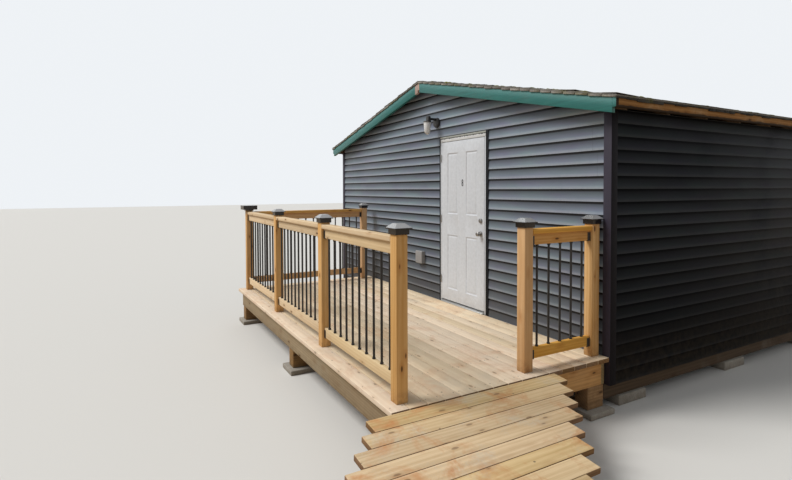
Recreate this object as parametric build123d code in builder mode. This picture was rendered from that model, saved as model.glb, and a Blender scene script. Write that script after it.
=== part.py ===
from build123d import *
from math import atan, cos, radians, sin, tan
import os

os.makedirs("parts", exist_ok=True)

# House: wall faces are the outer faces of the siding
house_width = 5830
house_depth = 4270
siding_depth = 18
siding_lip = 12
siding_exposure = 114.3
siding_drop = 250
wall_thickness = 100
corner_trim_width = 75
corner_trim_proud = 6
trim_clearance = 0.5

# Foundation and floor, from the ground up
block_length = 390
block_width = 190
block_height = 90
block_inset = 200
skid_size = 140
skid_inset = 60
floor_joist_height = 235
floor_thickness = 25
plank = 38
joist_spacing = 560
joint_gap = 0.5
floor_top = block_height + skid_size + floor_joist_height + floor_thickness

# Roof: the height is from the floor to the top of the sheathing, at the wall face
roof_height = 2262
roof_pitch = 0.225
rafter_depth = 89
rafter_spacing = 600
sheathing_thickness = 16
barge_height = 122
rake_overhang = 140
eave_overhang = 146
eave_fascia_height = 89
shingle_exposure = 143
shingle_lip = 6
shingle_base = 6
shingle_overhang = 14
ridge_cap_width = 150
ridge_cap_thickness = 5

# Door, in a frame that stands on the floor
door_width = 864
door_height = 2032
door_thickness = 44
door_from_right = 1670
jamb_face = 18
head_face = 45
hinge_gap = 5
latch_gap = 7
door_top_gap = 6
door_bottom_gap = 7
stop_width = 14
stop_gap = 5
frame_proud = 4
sill_height = 30
sill_nose = 24
panel_width = 226
panel_spread = 384
panel_bead = 16
panel_relief = 4
upper_panel_height = 781
upper_panel_middle = 1500
lower_panel_height = 702
lower_panel_middle = 498

# Hinges, lock and knob
hinge_heights = (260, 1045, 1830)
hinge_length = 100
knuckle_radius = 6
hinge_proud = 8
hinge_plate = 1.6
hinge_plate_depth = 32
knuckle_gap = 0.5
lock_backset = 60
deadbolt_height = 1095
knob_height = 940
rose_radius = 32
rose_depth = 10
lock_seat = 0.3
deadbolt_radius = 29
deadbolt_depth = 16
knob_gap = 0.6
knob_neck_radius = 12
knob_neck_length = 20
knob_radius = 27
knob_depth = 34
knob_round = 13

# Wall lantern and outlet box, places from the right wall face and above the floor
lantern_from_right = 2670
lantern_height = 2345
lantern_plate_radius = 68
lantern_plate_depth = 26
lantern_reach = 155
lantern_arm_radius = 18
lantern_arm_rise = 42
lantern_neck_radius = 36
lantern_neck_height = 78
lantern_neck_setback = 16
shade_height = 128
shade_top_radius = 50
shade_bottom_radius = 38
shade_tip_height = 30
shade_tip_radius = 16
shade_wall = 4
shade_sides = 20
shade_cap_radius = 55
shade_cap_height = 16
outlet_from_right = 3056
outlet_height = 520
outlet_width = 165
outlet_tall = 172
outlet_depth = 58
outlet_corner = 12
outlet_bevel = 6

# Deck: boards run along the front wall
deck_length = 4730
deck_board_width = 140
deck_board_gap = 4
deck_board_count = 15
deck_wall_gap = 8
deck_overhang = 50
deck_rim_height = 205
deck_joist_spacing = 400
deck_leg_size = 140
deck_leg_depth = 200
deck_leg_end_inset = 50
deck_leg_rim_lap = 28
pad_size = 300
pad_height = 50

# Railing, heights above the deck
post_size = 89
post_height = 1190
post_from_right = 85
front_bays = (1420, 1515, 1530)
gate_post_setback = 913
right_wall_post_gap = 37
left_wall_post_gap = 127
rail_size = 89
cap_rail_top = 1145
bottom_rail_top = 182
baluster_radius = 9.5
baluster_sides = 8
baluster_spacing = 127
baluster_end_gap = 85
rail_seat = 3.5
bracket_wall = 3
bracket_depth = 36
bracket_play = 0.5
cap_skirt = 107
cap_skirt_height = 38
cap_brim = 138
cap_brim_height = 9
cap_peak_height = 30
cap_lip = 30
cap_top = 44

# Ramp: boards parallel to the deck's end, each shifted towards the front
ramp_fall = 0.078
ramp_gap = 8
ramp_drop = 5
ramp_board_length = 1670
ramp_board_pitch = 143
ramp_front_reach = 2360
ramp_shifts = (0, 95, 110, 120, 150, 95, 120, 125, 100, 115, 105, 110)
stringer_height = 140
stringer_insets = (190, 816, 1442)
trestle_size = 89
trestle_first = 780
trestle_pitch = 830
trestle_count = 2

# Places that follow from the sizes
board_pitch = deck_board_width + deck_board_gap
deck_depth = deck_board_count * board_pitch - deck_board_gap + deck_wall_gap
ramp_angle = atan(ramp_fall)
ramp_count = len(ramp_shifts)
ramp_run = ((ramp_count - 1) * ramp_board_pitch + deck_board_width) * cos(ramp_angle)
ramp_skew = sum(ramp_shifts)
left_reach = house_width + eave_overhang + shingle_overhang
right_reach = ramp_gap + ramp_run
front_reach = ramp_front_reach + ramp_skew
back_reach = house_depth + rake_overhang + shingle_overhang
right = (left_reach - right_reach) / 2
left = right - house_width
front = (front_reach - back_reach) / 2
back = front + house_depth

ridge_x = (left + right) / 2
pitch_angle = atan(roof_pitch)
steep = 1 / cos(pitch_angle)
ridge_top = floor_top + roof_height + roof_pitch * house_width / 2
ridge_face = plank / 2
eave_x = house_width / 2 + eave_overhang
sheathing_drop = sheathing_thickness * steep
rafter_drop = sheathing_drop + rafter_depth * steep
roof_front = front - rake_overhang
roof_back = back + rake_overhang
core_left = left + siding_depth
core_right = right - siding_depth
core_front = front + siding_depth
core_back = back - siding_depth
siding_bottom = floor_top - siding_drop
deck_top = floor_top


def roof_z(x):
    """Height of the sheathing's top at a distance x from the ridge."""
    return ridge_top - roof_pitch * x


def roof_band(x_inner, x_outer, top_drop, bottom_drop, side):
    """Corners of a layer of the roof, in the XZ plane, on one side of the ridge."""
    return [
        (ridge_x + side * x_inner, roof_z(x_inner) - top_drop),
        (ridge_x + side * x_outer, roof_z(x_outer) - top_drop),
        (ridge_x + side * x_outer, roof_z(x_outer) - bottom_drop),
        (ridge_x + side * x_inner, roof_z(x_inner) - bottom_drop),
    ]


def front_plane(y):
    """Plane of a front view at a given y: its x is +X, its y is +Z, and it looks along -Y."""
    return Plane.XZ.offset(-y)


def save(part, name):
    part.label = name
    export_step(part, f"parts/{name}.step")


# Concrete blocks under the skids, and pads under the legs of the deck
skid_centres = (
    core_left + skid_inset + skid_size / 2,
    ridge_x,
    core_right - skid_inset - skid_size / 2,
)
block_centres = (
    front + block_inset + block_length / 2,
    (front + back) / 2,
    back - block_inset - block_length / 2,
)
deck_right = right
deck_left = right - deck_length
deck_back = front - deck_wall_gap
deck_front = front - deck_depth
leg_columns = (
    deck_left + deck_leg_end_inset + deck_leg_size / 2,
    (deck_left + deck_right) / 2,
    deck_right - deck_leg_end_inset - deck_leg_size / 2,
)
leg_row_inset = plank - deck_leg_rim_lap + deck_leg_depth / 2
leg_rows = (deck_front + deck_overhang + leg_row_inset, deck_back - leg_row_inset)

with BuildPart() as foundation_blocks:
    with BuildSketch():
        with Locations(*[(x, y) for x in skid_centres for y in block_centres]):
            Rectangle(block_width, block_length)
    extrude(amount=block_height)
    with BuildSketch():
        with Locations(*[(x, y) for x in leg_columns for y in leg_rows]):
            Rectangle(pad_size, pad_size)
    extrude(amount=pad_height)
save(foundation_blocks.part, "foundation_blocks")

# Skids run from front to back under the floor
with BuildPart() as floor_skids:
    with BuildSketch(Plane.XY.offset(block_height)):
        with Locations(*[(x, (core_front + core_back) / 2) for x in skid_centres]):
            Rectangle(skid_size, core_back - core_front)
    extrude(amount=skid_size)
save(floor_skids.part, "floor_skids")

# Floor frame: a rim along the front and the back, and joists between the two
floor_span = core_right - core_left
floor_joist_count = round((floor_span - plank) / joist_spacing) + 1
floor_joist_pitch = (floor_span - plank) / (floor_joist_count - 1)
floor_middle = (ridge_x, (core_front + core_back) / 2)
with BuildPart() as floor_frame:
    with BuildSketch(Plane.XY.offset(block_height + skid_size)):
        with Locations((ridge_x, core_front + plank / 2), (ridge_x, core_back - plank / 2)):
            Rectangle(floor_span, plank)
        with Locations(floor_middle):
            with GridLocations(floor_joist_pitch, 1, floor_joist_count, 1):
                Rectangle(plank, core_back - core_front - 2 * plank - 2 * joint_gap)
    extrude(amount=floor_joist_height)
save(floor_frame.part, "floor_frame")

with BuildPart() as floor_deck:
    with BuildSketch(Plane.XY.offset(floor_top - floor_thickness)):
        with Locations(floor_middle):
            Rectangle(floor_span, core_back - core_front)
    extrude(amount=floor_thickness)
save(floor_deck.part, "floor_deck")

# Door places: the unit is the frame's outer width and height
unit_width = door_width + hinge_gap + latch_gap + 2 * jamb_face
unit_height = sill_height + door_bottom_gap + door_height + door_top_gap + head_face
unit_right = right - door_from_right
unit_left = unit_right - unit_width
unit_top = floor_top + unit_height


def wall_top(x):
    """Height of the rafters' underside over a place x, no higher than the ridge board's."""
    return roof_z(max(abs(x - ridge_x), ridge_face)) - rafter_drop


def gable_outline(x_start, x_end, z_bottom):
    """Corners of a piece of a gable wall between two places, up to the rafters."""
    tops = [x for x in (ridge_x - ridge_face, ridge_x + ridge_face) if x_start < x < x_end]
    return [(x_start, z_bottom), *[(x, wall_top(x)) for x in (x_start, *tops, x_end)], (x_end, z_bottom)]


for name, x_start, x_end, z_bottom, inner_y in (
    ("front_wall_left", core_left, unit_left, floor_top, core_front + wall_thickness),
    ("front_wall_right", unit_right, core_right, floor_top, core_front + wall_thickness),
    ("front_wall_over_door", unit_left, unit_right, unit_top, core_front + wall_thickness),
    ("back_wall", core_left, core_right, floor_top, core_back),
):
    with BuildPart() as gable_wall:
        with BuildSketch(front_plane(inner_y)):
            with BuildLine():
                Polyline(*gable_outline(x_start, x_end, z_bottom), close=True)
            make_face()
        extrude(amount=wall_thickness)
    save(gable_wall.part, name)

# Side walls stand between the gable walls, their tops cut to the roof's slope
for name, outer, inner in (
    ("left_wall", core_left, core_left + wall_thickness),
    ("right_wall", core_right, core_right - wall_thickness),
):
    with BuildPart() as side_wall:
        with BuildSketch(front_plane(core_back - wall_thickness)):
            with BuildLine():
                Polyline(
                    (outer, floor_top),
                    (outer, wall_top(outer)),
                    (inner, wall_top(inner)),
                    (inner, floor_top),
                    close=True,
                )
            make_face()
        extrude(amount=core_back - core_front - 2 * wall_thickness)
    save(side_wall.part, name)

# Lap siding: one saw-tooth skin on each wall, with the courses level round the house
course_count = int((ridge_top - siding_bottom) / siding_exposure) + 1


def lap_points(face, inward):
    """Saw-tooth outline of the courses: depth from the wall face, then height."""
    points = [(face + inward * siding_depth, siding_bottom)]
    for course in range(course_count):
        z = siding_bottom + course * siding_exposure
        points.append((face, z))
        points.append((face + inward * (siding_depth - siding_lip), z + siding_exposure))
    points.append((face + inward * siding_depth, siding_bottom + course_count * siding_exposure))
    return points


door_unit_middle = (unit_left + unit_right) / 2
for name, face, inward in (("front_siding", front, 1), ("back_siding", back, -1)):
    skin_left = left + corner_trim_width + trim_clearance
    skin_right = right - corner_trim_width - trim_clearance
    edge_top = roof_z(ridge_x - skin_left) - sheathing_drop
    with BuildPart() as gable_siding:
        with BuildSketch(front_plane(max(face, face + inward * siding_depth))):
            with BuildLine():
                Polyline(
                    (skin_left, siding_bottom),
                    (skin_left, edge_top),
                    (ridge_x, roof_z(0) - sheathing_drop),
                    (skin_right, edge_top),
                    (skin_right, siding_bottom),
                    close=True,
                )
            make_face()
            with Locations((ridge_x, ridge_top - rafter_drop / 2)):
                Rectangle(plank, rafter_drop + 2 * roof_pitch * plank, mode=Mode.SUBTRACT)
            if face == front:
                with Locations((door_unit_middle, (floor_top + unit_top) / 2)):
                    Rectangle(unit_width, unit_height, mode=Mode.SUBTRACT)
        extrude(amount=siding_depth)
        with BuildSketch(Plane.YZ.offset(left)):
            with BuildLine():
                Polyline(*lap_points(face, inward), close=True)
            make_face()
        extrude(amount=house_width, mode=Mode.INTERSECT)
    save(gable_siding.part, name)

side_top = roof_z(house_width / 2) - rafter_drop
with BuildPart() as side_siding:
    for face, inward in ((left, 1), (right, -1)):
        with BuildSketch(front_plane(back - corner_trim_width - trim_clearance)):
            with BuildLine():
                Polyline(*lap_points(face, inward), close=True)
            make_face()
        extrude(amount=house_depth - 2 * corner_trim_width - 2 * trim_clearance)
    split(bisect_by=Plane.XY.offset(side_top), keep=Keep.BOTTOM)
save(side_siding.part, "side_siding")

# Corner trims: an L at each corner, a little proud of the siding
trim_corners = [
    (x, y, x_in, y_in) for x, x_in in ((left, 1), (right, -1)) for y, y_in in ((front, 1), (back, -1))
]
with BuildPart() as corner_trims:
    with BuildSketch(Plane.XY.offset(siding_bottom)):
        for x, y, x_in, y_in in trim_corners:
            x_out = x - x_in * corner_trim_proud
            y_out = y - y_in * corner_trim_proud
            with BuildLine():
                Polyline(
                    (x_out, y_out),
                    (x + x_in * corner_trim_width, y_out),
                    (x + x_in * corner_trim_width, y + y_in * siding_depth),
                    (x + x_in * siding_depth, y + y_in * siding_depth),
                    (x + x_in * siding_depth, y + y_in * corner_trim_width),
                    (x_out, y + y_in * corner_trim_width),
                    close=True,
                )
            make_face()
    extrude(amount=roof_z(house_width / 2 + corner_trim_proud) - rafter_drop - siding_bottom)
save(corner_trims.part, "corner_trims")

# Ridge board: its ends show between the barge boards
with BuildPart() as ridge_board:
    with BuildSketch(front_plane(back + rake_overhang)):
        with Locations((ridge_x, roof_z(ridge_face) - rafter_drop / 2)):
            Rectangle(plank, rafter_drop)
    extrude(amount=house_depth + 2 * rake_overhang)
save(ridge_board.part, "ridge_board")

# Rafters in pairs, the end pairs on the gable walls
rafter_count = round((core_back - core_front - plank) / rafter_spacing) + 1
rafter_pitch = (core_back - core_front - plank) / (rafter_count - 1)
with BuildPart() as roof_rafters:
    for number in range(rafter_count):
        with BuildSketch(front_plane(core_front + plank + number * rafter_pitch)):
            for side in (-1, 1):
                with BuildLine():
                    Polyline(
                        *roof_band(ridge_face, eave_x - plank, sheathing_drop, rafter_drop, side), close=True
                    )
                make_face()
        extrude(amount=plank)
save(roof_rafters.part, "roof_rafters")

with BuildPart() as roof_sheathing:
    with BuildSketch(front_plane(roof_back)):
        for side in (-1, 1):
            with BuildLine():
                Polyline(*roof_band(ridge_face, eave_x - plank, 0, sheathing_drop, side), close=True)
            make_face()
    extrude(amount=roof_back - roof_front)
save(roof_sheathing.part, "roof_sheathing")

# Barge boards under the sheathing's ends, from the ridge board to the eave boards
barge_drop = sheathing_drop + barge_height * steep
with BuildPart() as barge_boards:
    for y in (front - rake_overhang + plank, back + rake_overhang):
        with BuildSketch(front_plane(y)):
            for side in (-1, 1):
                with BuildLine():
                    Polyline(
                        *roof_band(ridge_face, eave_x - plank, sheathing_drop, barge_drop, side), close=True
                    )
                make_face()
        extrude(amount=plank)
save(barge_boards.part, "barge_boards")

# Eave boards across the rafter tails and past the barge boards, their tops bevelled to the roof
with BuildPart() as eave_boards:
    with BuildSketch(front_plane(roof_back)):
        for side in (-1, 1):
            inner_x = eave_x - plank
            bottom = roof_z(eave_x) - eave_fascia_height
            with BuildLine():
                Polyline(
                    (ridge_x + side * inner_x, roof_z(inner_x)),
                    (ridge_x + side * eave_x, roof_z(eave_x)),
                    (ridge_x + side * eave_x, bottom),
                    (ridge_x + side * inner_x, bottom),
                    close=True,
                )
            make_face()
    extrude(amount=roof_back - roof_front)
save(eave_boards.part, "eave_boards")

# Shingles: courses that lap down the slope, past the barge boards and the eaves
slope_length = (eave_x + shingle_overhang) * steep
shingle_courses = round(slope_length / shingle_exposure)
course_length = (eave_x + shingle_overhang - trim_clearance) / shingle_courses
with BuildPart() as roof_shingles:
    with BuildSketch(front_plane(back + rake_overhang + shingle_overhang)):
        for side in (-1, 1):
            points = [(ridge_x + side * trim_clearance, roof_z(trim_clearance))]
            for course in range(shingle_courses):
                upper = trim_clearance + course * course_length
                lower = upper + course_length
                points.append((ridge_x + side * upper, roof_z(upper) + shingle_base))
                points.append((ridge_x + side * lower, roof_z(lower) + shingle_base + shingle_lip))
            end = eave_x + shingle_overhang
            points.append((ridge_x + side * end, roof_z(end)))
            with BuildLine():
                Polyline(*points, close=True)
            make_face()
    extrude(amount=house_depth + 2 * rake_overhang + 2 * shingle_overhang)
save(roof_shingles.part, "roof_shingles")

with BuildPart() as ridge_cap:
    cap_seat = shingle_base + shingle_lip
    with BuildSketch(front_plane(back + rake_overhang + shingle_overhang)):
        with BuildLine():
            Polyline(
                (ridge_x - ridge_cap_width, roof_z(ridge_cap_width) + cap_seat),
                (ridge_x, ridge_top + cap_seat),
                (ridge_x + ridge_cap_width, roof_z(ridge_cap_width) + cap_seat),
                (ridge_x + ridge_cap_width, roof_z(ridge_cap_width) + cap_seat + ridge_cap_thickness),
                (ridge_x, ridge_top + cap_seat + ridge_cap_thickness),
                (ridge_x - ridge_cap_width, roof_z(ridge_cap_width) + cap_seat + ridge_cap_thickness),
                close=True,
            )
        make_face()
    extrude(amount=house_depth + 2 * rake_overhang + 2 * shingle_overhang)
save(ridge_cap.part, "ridge_cap")

# Door frame: two jambs and a head, each with a stop behind the door
frame_face = front - frame_proud
frame_back = core_front + wall_thickness
door_face = frame_face
stop_face = door_face + door_thickness + stop_gap
with BuildPart() as door_frame:
    with BuildSketch(Plane.XY.offset(floor_top)):
        for x, inward in ((unit_left, 1), (unit_right, -1)):
            with BuildLine():
                Polyline(
                    (x, frame_face),
                    (x + inward * jamb_face, frame_face),
                    (x + inward * jamb_face, stop_face),
                    (x + inward * (jamb_face + stop_width), stop_face),
                    (x + inward * (jamb_face + stop_width), frame_back),
                    (x, frame_back),
                    close=True,
                )
            make_face()
    extrude(amount=unit_height - head_face - joint_gap)
    with BuildSketch(Plane.YZ.offset(unit_left)):
        with BuildLine():
            Polyline(
                (frame_face, unit_top),
                (frame_face, unit_top - head_face),
                (frame_back, unit_top - head_face),
                (frame_back, unit_top),
                close=True,
            )
        make_face()
    extrude(amount=unit_width)
save(door_frame.part, "door_frame")

with BuildPart() as door_sill:
    with BuildSketch(Plane.YZ.offset(unit_left + jamb_face + stop_width + joint_gap)):
        with BuildLine():
            Polyline(
                (frame_face - sill_nose, floor_top),
                (frame_face - sill_nose, floor_top + sill_height / 3),
                (stop_face, floor_top + sill_height),
                (frame_back, floor_top + sill_height),
                (frame_back, floor_top),
                close=True,
            )
        make_face()
    extrude(amount=unit_width - 2 * (jamb_face + stop_width + joint_gap))
save(door_sill.part, "door_sill")

# Door: a flat slab with four raised panels on each face
door_left = unit_left + jamb_face + hinge_gap
door_right = door_left + door_width
door_bottom = floor_top + sill_height + door_bottom_gap
door_middle = (door_left + door_right) / 2
panels = [
    (door_middle + side * panel_spread / 2, door_bottom + middle, height)
    for side in (-1, 1)
    for middle, height in ((upper_panel_middle, upper_panel_height), (lower_panel_middle, lower_panel_height))
]
with BuildPart() as door_slab:
    with BuildSketch(front_plane(door_face + door_thickness)):
        with Locations((door_middle, door_bottom + door_height / 2)):
            Rectangle(door_width, door_height)
    extrude(amount=door_thickness)
    for y, inward in ((door_face, -1), (door_face + door_thickness, 1)):
        for x, z, height in panels:
            with BuildSketch(front_plane(y)):
                with Locations((x, z)):
                    Rectangle(panel_width, height)
                    Rectangle(panel_width - 2 * panel_bead, height - 2 * panel_bead, mode=Mode.SUBTRACT)
            extrude(amount=inward * panel_relief, mode=Mode.SUBTRACT)
save(door_slab.part, "door_slab")

# Hinges: the frame holds the end knuckles, the door the middle one, all on one pin line
jamb_x = unit_left + jamb_face
hinge_x = jamb_x + hinge_gap / 2
hinge_y = door_face - hinge_proud
knuckle_length = (hinge_length - 2 * knuckle_gap) / 3
hinge_bases = [door_bottom + height - hinge_length / 2 for height in hinge_heights]
with BuildPart() as frame_hinges:
    for base in hinge_bases:
        for step in (0, 2):
            with BuildSketch(Plane.XY.offset(base + step * (knuckle_length + knuckle_gap))):
                with Locations((hinge_x, hinge_y)):
                    Circle(knuckle_radius)
                with Locations((jamb_x + hinge_plate / 2, hinge_y + hinge_plate_depth / 2)):
                    Rectangle(hinge_plate, hinge_plate_depth)
            extrude(amount=knuckle_length)
        with BuildSketch(Plane.XY.offset(base)):
            with Locations((jamb_x + hinge_plate / 2, hinge_y + knuckle_radius + hinge_plate_depth / 2)):
                Rectangle(hinge_plate, hinge_plate_depth)
        extrude(amount=hinge_length)
save(frame_hinges.part, "frame_hinges")

with BuildPart() as door_hinges:
    for base in hinge_bases:
        with BuildSketch(Plane.XY.offset(base + knuckle_length + knuckle_gap)):
            with Locations((hinge_x, hinge_y)):
                Circle(knuckle_radius)
            with Locations((door_left - hinge_plate / 2, hinge_y + hinge_plate_depth / 2)):
                Rectangle(hinge_plate, hinge_plate_depth)
        extrude(amount=knuckle_length)
        with BuildSketch(Plane.XY.offset(base)):
            with Locations((door_left - hinge_plate / 2, hinge_y + knuckle_radius + hinge_plate_depth / 2)):
                Rectangle(hinge_plate, hinge_plate_depth)
        extrude(amount=hinge_length)
save(door_hinges.part, "door_hinges")

# Lock: a round deadbolt over the knob's rose
lock_x = door_right - lock_backset
lock_face = door_face - lock_seat
with BuildPart() as door_lock:
    with BuildSketch(front_plane(lock_face)):
        with Locations((lock_x, floor_top + deadbolt_height)):
            Circle(deadbolt_radius)
    extrude(amount=deadbolt_depth, taper=12)
    with BuildSketch(front_plane(lock_face)):
        with Locations((lock_x, floor_top + knob_height)):
            Circle(rose_radius)
    extrude(amount=rose_depth, taper=12)
save(door_lock.part, "door_lock")

# Knob: a neck and a rounded grip
knob_z = floor_top + knob_height
knob_root = lock_face - rose_depth - knob_gap
with BuildPart() as door_knob:
    with BuildSketch(front_plane(knob_root)):
        with Locations((lock_x, knob_z)):
            Circle(knob_neck_radius)
    extrude(amount=knob_neck_length)
    with BuildSketch(front_plane(knob_root - knob_neck_length)):
        with Locations((lock_x, knob_z)):
            Circle(knob_radius)
    extrude(amount=knob_depth)
    fillet(edges().filter_by(GeomType.CIRCLE).group_by(SortBy.RADIUS)[-1], knob_round)
save(door_knob.part, "door_knob")

# Wall lantern: a round back plate, an arm and a necked cap that holds a tapered shade
lantern_x = right - lantern_from_right
lantern_z = floor_top + lantern_height
arm_z = lantern_z + lantern_arm_rise
shade_y = front - lantern_reach
neck_y = shade_y + lantern_neck_setback
cap_base = arm_z + lantern_arm_radius - lantern_neck_height + shade_cap_height
with BuildPart() as lantern_mount:
    with BuildSketch(front_plane(front)):
        with Locations((lantern_x, lantern_z)):
            Circle(lantern_plate_radius)
    extrude(amount=lantern_plate_depth, taper=15)
    with BuildSketch(front_plane(front)):
        with Locations((lantern_x, arm_z)):
            Circle(lantern_arm_radius)
    extrude(amount=lantern_reach - lantern_neck_setback)
    with BuildSketch(Plane.XY.offset(cap_base)):
        with Locations((lantern_x, shade_y)):
            Circle(shade_cap_radius)
    extrude(amount=shade_cap_height, taper=20)
    with BuildSketch(Plane.XY.offset(cap_base)):
        with Locations((lantern_x, neck_y)):
            Circle(lantern_neck_radius)
    extrude(amount=lantern_neck_height, taper=6)
save(lantern_mount.part, "lantern_mount")

# The shade is a pressed glass cup with narrow flat sides, its open top closed by the cap
shade_top = cap_base - lock_seat
shade_shoulder = shade_top - shade_height
shade_bottom = shade_shoulder - shade_tip_height
with BuildPart() as lantern_shade:
    for wall, mode in ((0, Mode.ADD), (shade_wall, Mode.SUBTRACT)):
        rings = (
            (shade_top, shade_top_radius - wall),
            (shade_shoulder, shade_bottom_radius - wall),
            (shade_bottom + wall, shade_tip_radius - wall),
        )
        for ring_pair in (rings[:2], rings[1:]):
            for height, radius in ring_pair:
                with BuildSketch(Plane.XY.offset(height)):
                    with Locations((lantern_x, shade_y)):
                        RegularPolygon(radius, shade_sides)
            loft(ruled=True, mode=mode)
save(lantern_shade.part, "lantern_shade")

with BuildPart() as outlet_box:
    with BuildSketch(front_plane(front)):
        with Locations((right - outlet_from_right, floor_top + outlet_height)):
            Rectangle(outlet_width, outlet_tall)
        fillet(vertices(), outlet_corner)
    extrude(amount=outlet_depth)
    chamfer(faces().sort_by(Axis.Y)[0].edges(), outlet_bevel)
save(outlet_box.part, "outlet_box")

# Deck boards along the front wall
with BuildPart() as deck_boards:
    with BuildSketch(Plane.XY.offset(deck_top - plank)):
        with Locations(((deck_left + deck_right) / 2, (deck_front + deck_back) / 2)):
            with GridLocations(1, board_pitch, 1, deck_board_count):
                Rectangle(deck_length, deck_board_width)
    extrude(amount=plank)
save(deck_boards.part, "deck_boards")

# Deck frame: a front rim and a back rim, with joists between the two
rim_left = deck_left + deck_overhang
rim_right = deck_right - deck_overhang
rim_front = deck_front + deck_overhang
rim_back = deck_back
rim_bottom = deck_top - plank - deck_rim_height
deck_joist_count = round((rim_right - rim_left - plank) / deck_joist_spacing) + 1
deck_joist_pitch = (rim_right - rim_left - plank) / (deck_joist_count - 1)
rim_middle_x = (rim_left + rim_right) / 2
with BuildPart() as deck_frame:
    with BuildSketch(Plane.XY.offset(rim_bottom)):
        with Locations((rim_middle_x, rim_front + plank / 2), (rim_middle_x, rim_back - plank / 2)):
            Rectangle(rim_right - rim_left, plank)
        with Locations((rim_middle_x, (rim_front + rim_back) / 2)):
            with GridLocations(deck_joist_pitch, 1, deck_joist_count, 1):
                Rectangle(plank, rim_back - rim_front - 2 * plank - 2 * joint_gap)
    extrude(amount=deck_rim_height)
save(deck_frame.part, "deck_frame")

with BuildPart() as deck_legs:
    with BuildSketch(Plane.XY.offset(pad_height)):
        with Locations(*[(x, y) for x in leg_columns for y in leg_rows]):
            Rectangle(deck_leg_size, deck_leg_depth)
    extrude(amount=rim_bottom - pad_height)
save(deck_legs.part, "deck_legs")

# Railing posts: a row along the front, a gate post, and one at each end of the wall
front_post_y = deck_front + deck_overhang + plank + post_size / 2
end_post_x = deck_right - post_from_right - post_size / 2
front_post_x = [end_post_x - sum(front_bays[:count]) for count in range(len(front_bays) + 1)]
gate_post_y = front - gate_post_setback + post_size / 2
right_wall_post_y = front - right_wall_post_gap - post_size / 2
left_wall_post_y = front - left_wall_post_gap - post_size / 2
left_post_x = front_post_x[-1]
post_places = [(x, front_post_y) for x in front_post_x]
post_places += [(end_post_x, gate_post_y), (end_post_x, right_wall_post_y), (left_post_x, left_wall_post_y)]
with BuildPart() as railing_posts:
    with BuildSketch(Plane.XY.offset(deck_top)):
        with Locations(*post_places):
            Rectangle(post_size, post_size)
    extrude(amount=post_height)
save(railing_posts.part, "railing_posts")

# Post caps: a skirt over the post's end, a brim and a low pyramid
cap_seat_z = deck_top + post_height
skirt_bottom = cap_seat_z - cap_lip
brim_bottom = skirt_bottom + cap_skirt_height
with BuildPart() as post_caps:
    with BuildSketch(Plane.XY.offset(skirt_bottom)):
        with Locations(*post_places):
            Rectangle(cap_skirt, cap_skirt)
    extrude(amount=cap_skirt_height)
    with BuildSketch(Plane.XY.offset(brim_bottom)):
        with Locations(*post_places):
            Rectangle(cap_brim, cap_brim)
    extrude(amount=cap_brim_height)
    for x, y in post_places:
        with BuildSketch(Plane.XY.offset(brim_bottom + cap_brim_height)):
            with Locations((x, y)):
                Rectangle(cap_skirt, cap_skirt)
        with BuildSketch(Plane.XY.offset(brim_bottom + cap_brim_height + cap_peak_height)):
            with Locations((x, y)):
                Rectangle(cap_top, cap_top)
        loft()
    with BuildSketch(Plane.XY.offset(skirt_bottom)):
        with Locations(*post_places):
            Rectangle(post_size + 2 * trim_clearance, post_size + 2 * trim_clearance)
    extrude(amount=cap_lip, mode=Mode.SUBTRACT)
save(post_caps.part, "post_caps")

# Railing bays: start, direction and clear length from the face of one post to the next
half_post = post_size / 2
rail_bays = {
    "railing_front_right": (
        Vector(end_post_x - half_post, front_post_y), Vector(-1, 0), front_bays[0] - post_size,
    ),
    "railing_front_middle": (
        Vector(front_post_x[1] - half_post, front_post_y), Vector(-1, 0), front_bays[1] - post_size,
    ),
    "railing_front_left": (
        Vector(front_post_x[2] - half_post, front_post_y), Vector(-1, 0), front_bays[2] - post_size,
    ),
    "railing_left_end": (
        Vector(left_post_x, front_post_y + half_post),
        Vector(0, 1),
        left_wall_post_y - front_post_y - post_size,
    ),
    "railing_right_end": (
        Vector(end_post_x, gate_post_y + half_post),
        Vector(0, 1),
        right_wall_post_y - gate_post_y - post_size,
    ),
}
top_rail_top = cap_rail_top - plank
rail_levels = (top_rail_top - rail_size, bottom_rail_top - rail_size)


def bay_plane(start, along, height):
    """Level plane with its x along a bay, from the face of the post where it starts."""
    return Plane(origin=(start.X, start.Y, deck_top + height), x_dir=(along.X, along.Y, 0), z_dir=(0, 0, 1))


for name, (start, along, clear) in rail_bays.items():
    baluster_steps = round((clear - 2 * baluster_end_gap) / baluster_spacing)
    baluster_pitch = (clear - 2 * baluster_end_gap) / baluster_steps
    with BuildPart() as railing:
        with BuildSketch(bay_plane(start, along, top_rail_top)):
            with Locations((clear / 2, 0)):
                Rectangle(clear - 2 * rail_seat, rail_size)
        extrude(amount=plank)
        for level in rail_levels:
            with BuildSketch(bay_plane(start, along, level)):
                with Locations((clear / 2, 0)):
                    Rectangle(clear - 2 * rail_seat, plank)
            extrude(amount=rail_size)
        with BuildSketch(bay_plane(start, along, bottom_rail_top)):
            with Locations((clear / 2, 0)):
                with GridLocations(baluster_pitch, 1, baluster_steps + 1, 1):
                    RegularPolygon(baluster_radius, baluster_sides)
        extrude(amount=rail_levels[0] - bottom_rail_top)
    save(railing.part, name)

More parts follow.
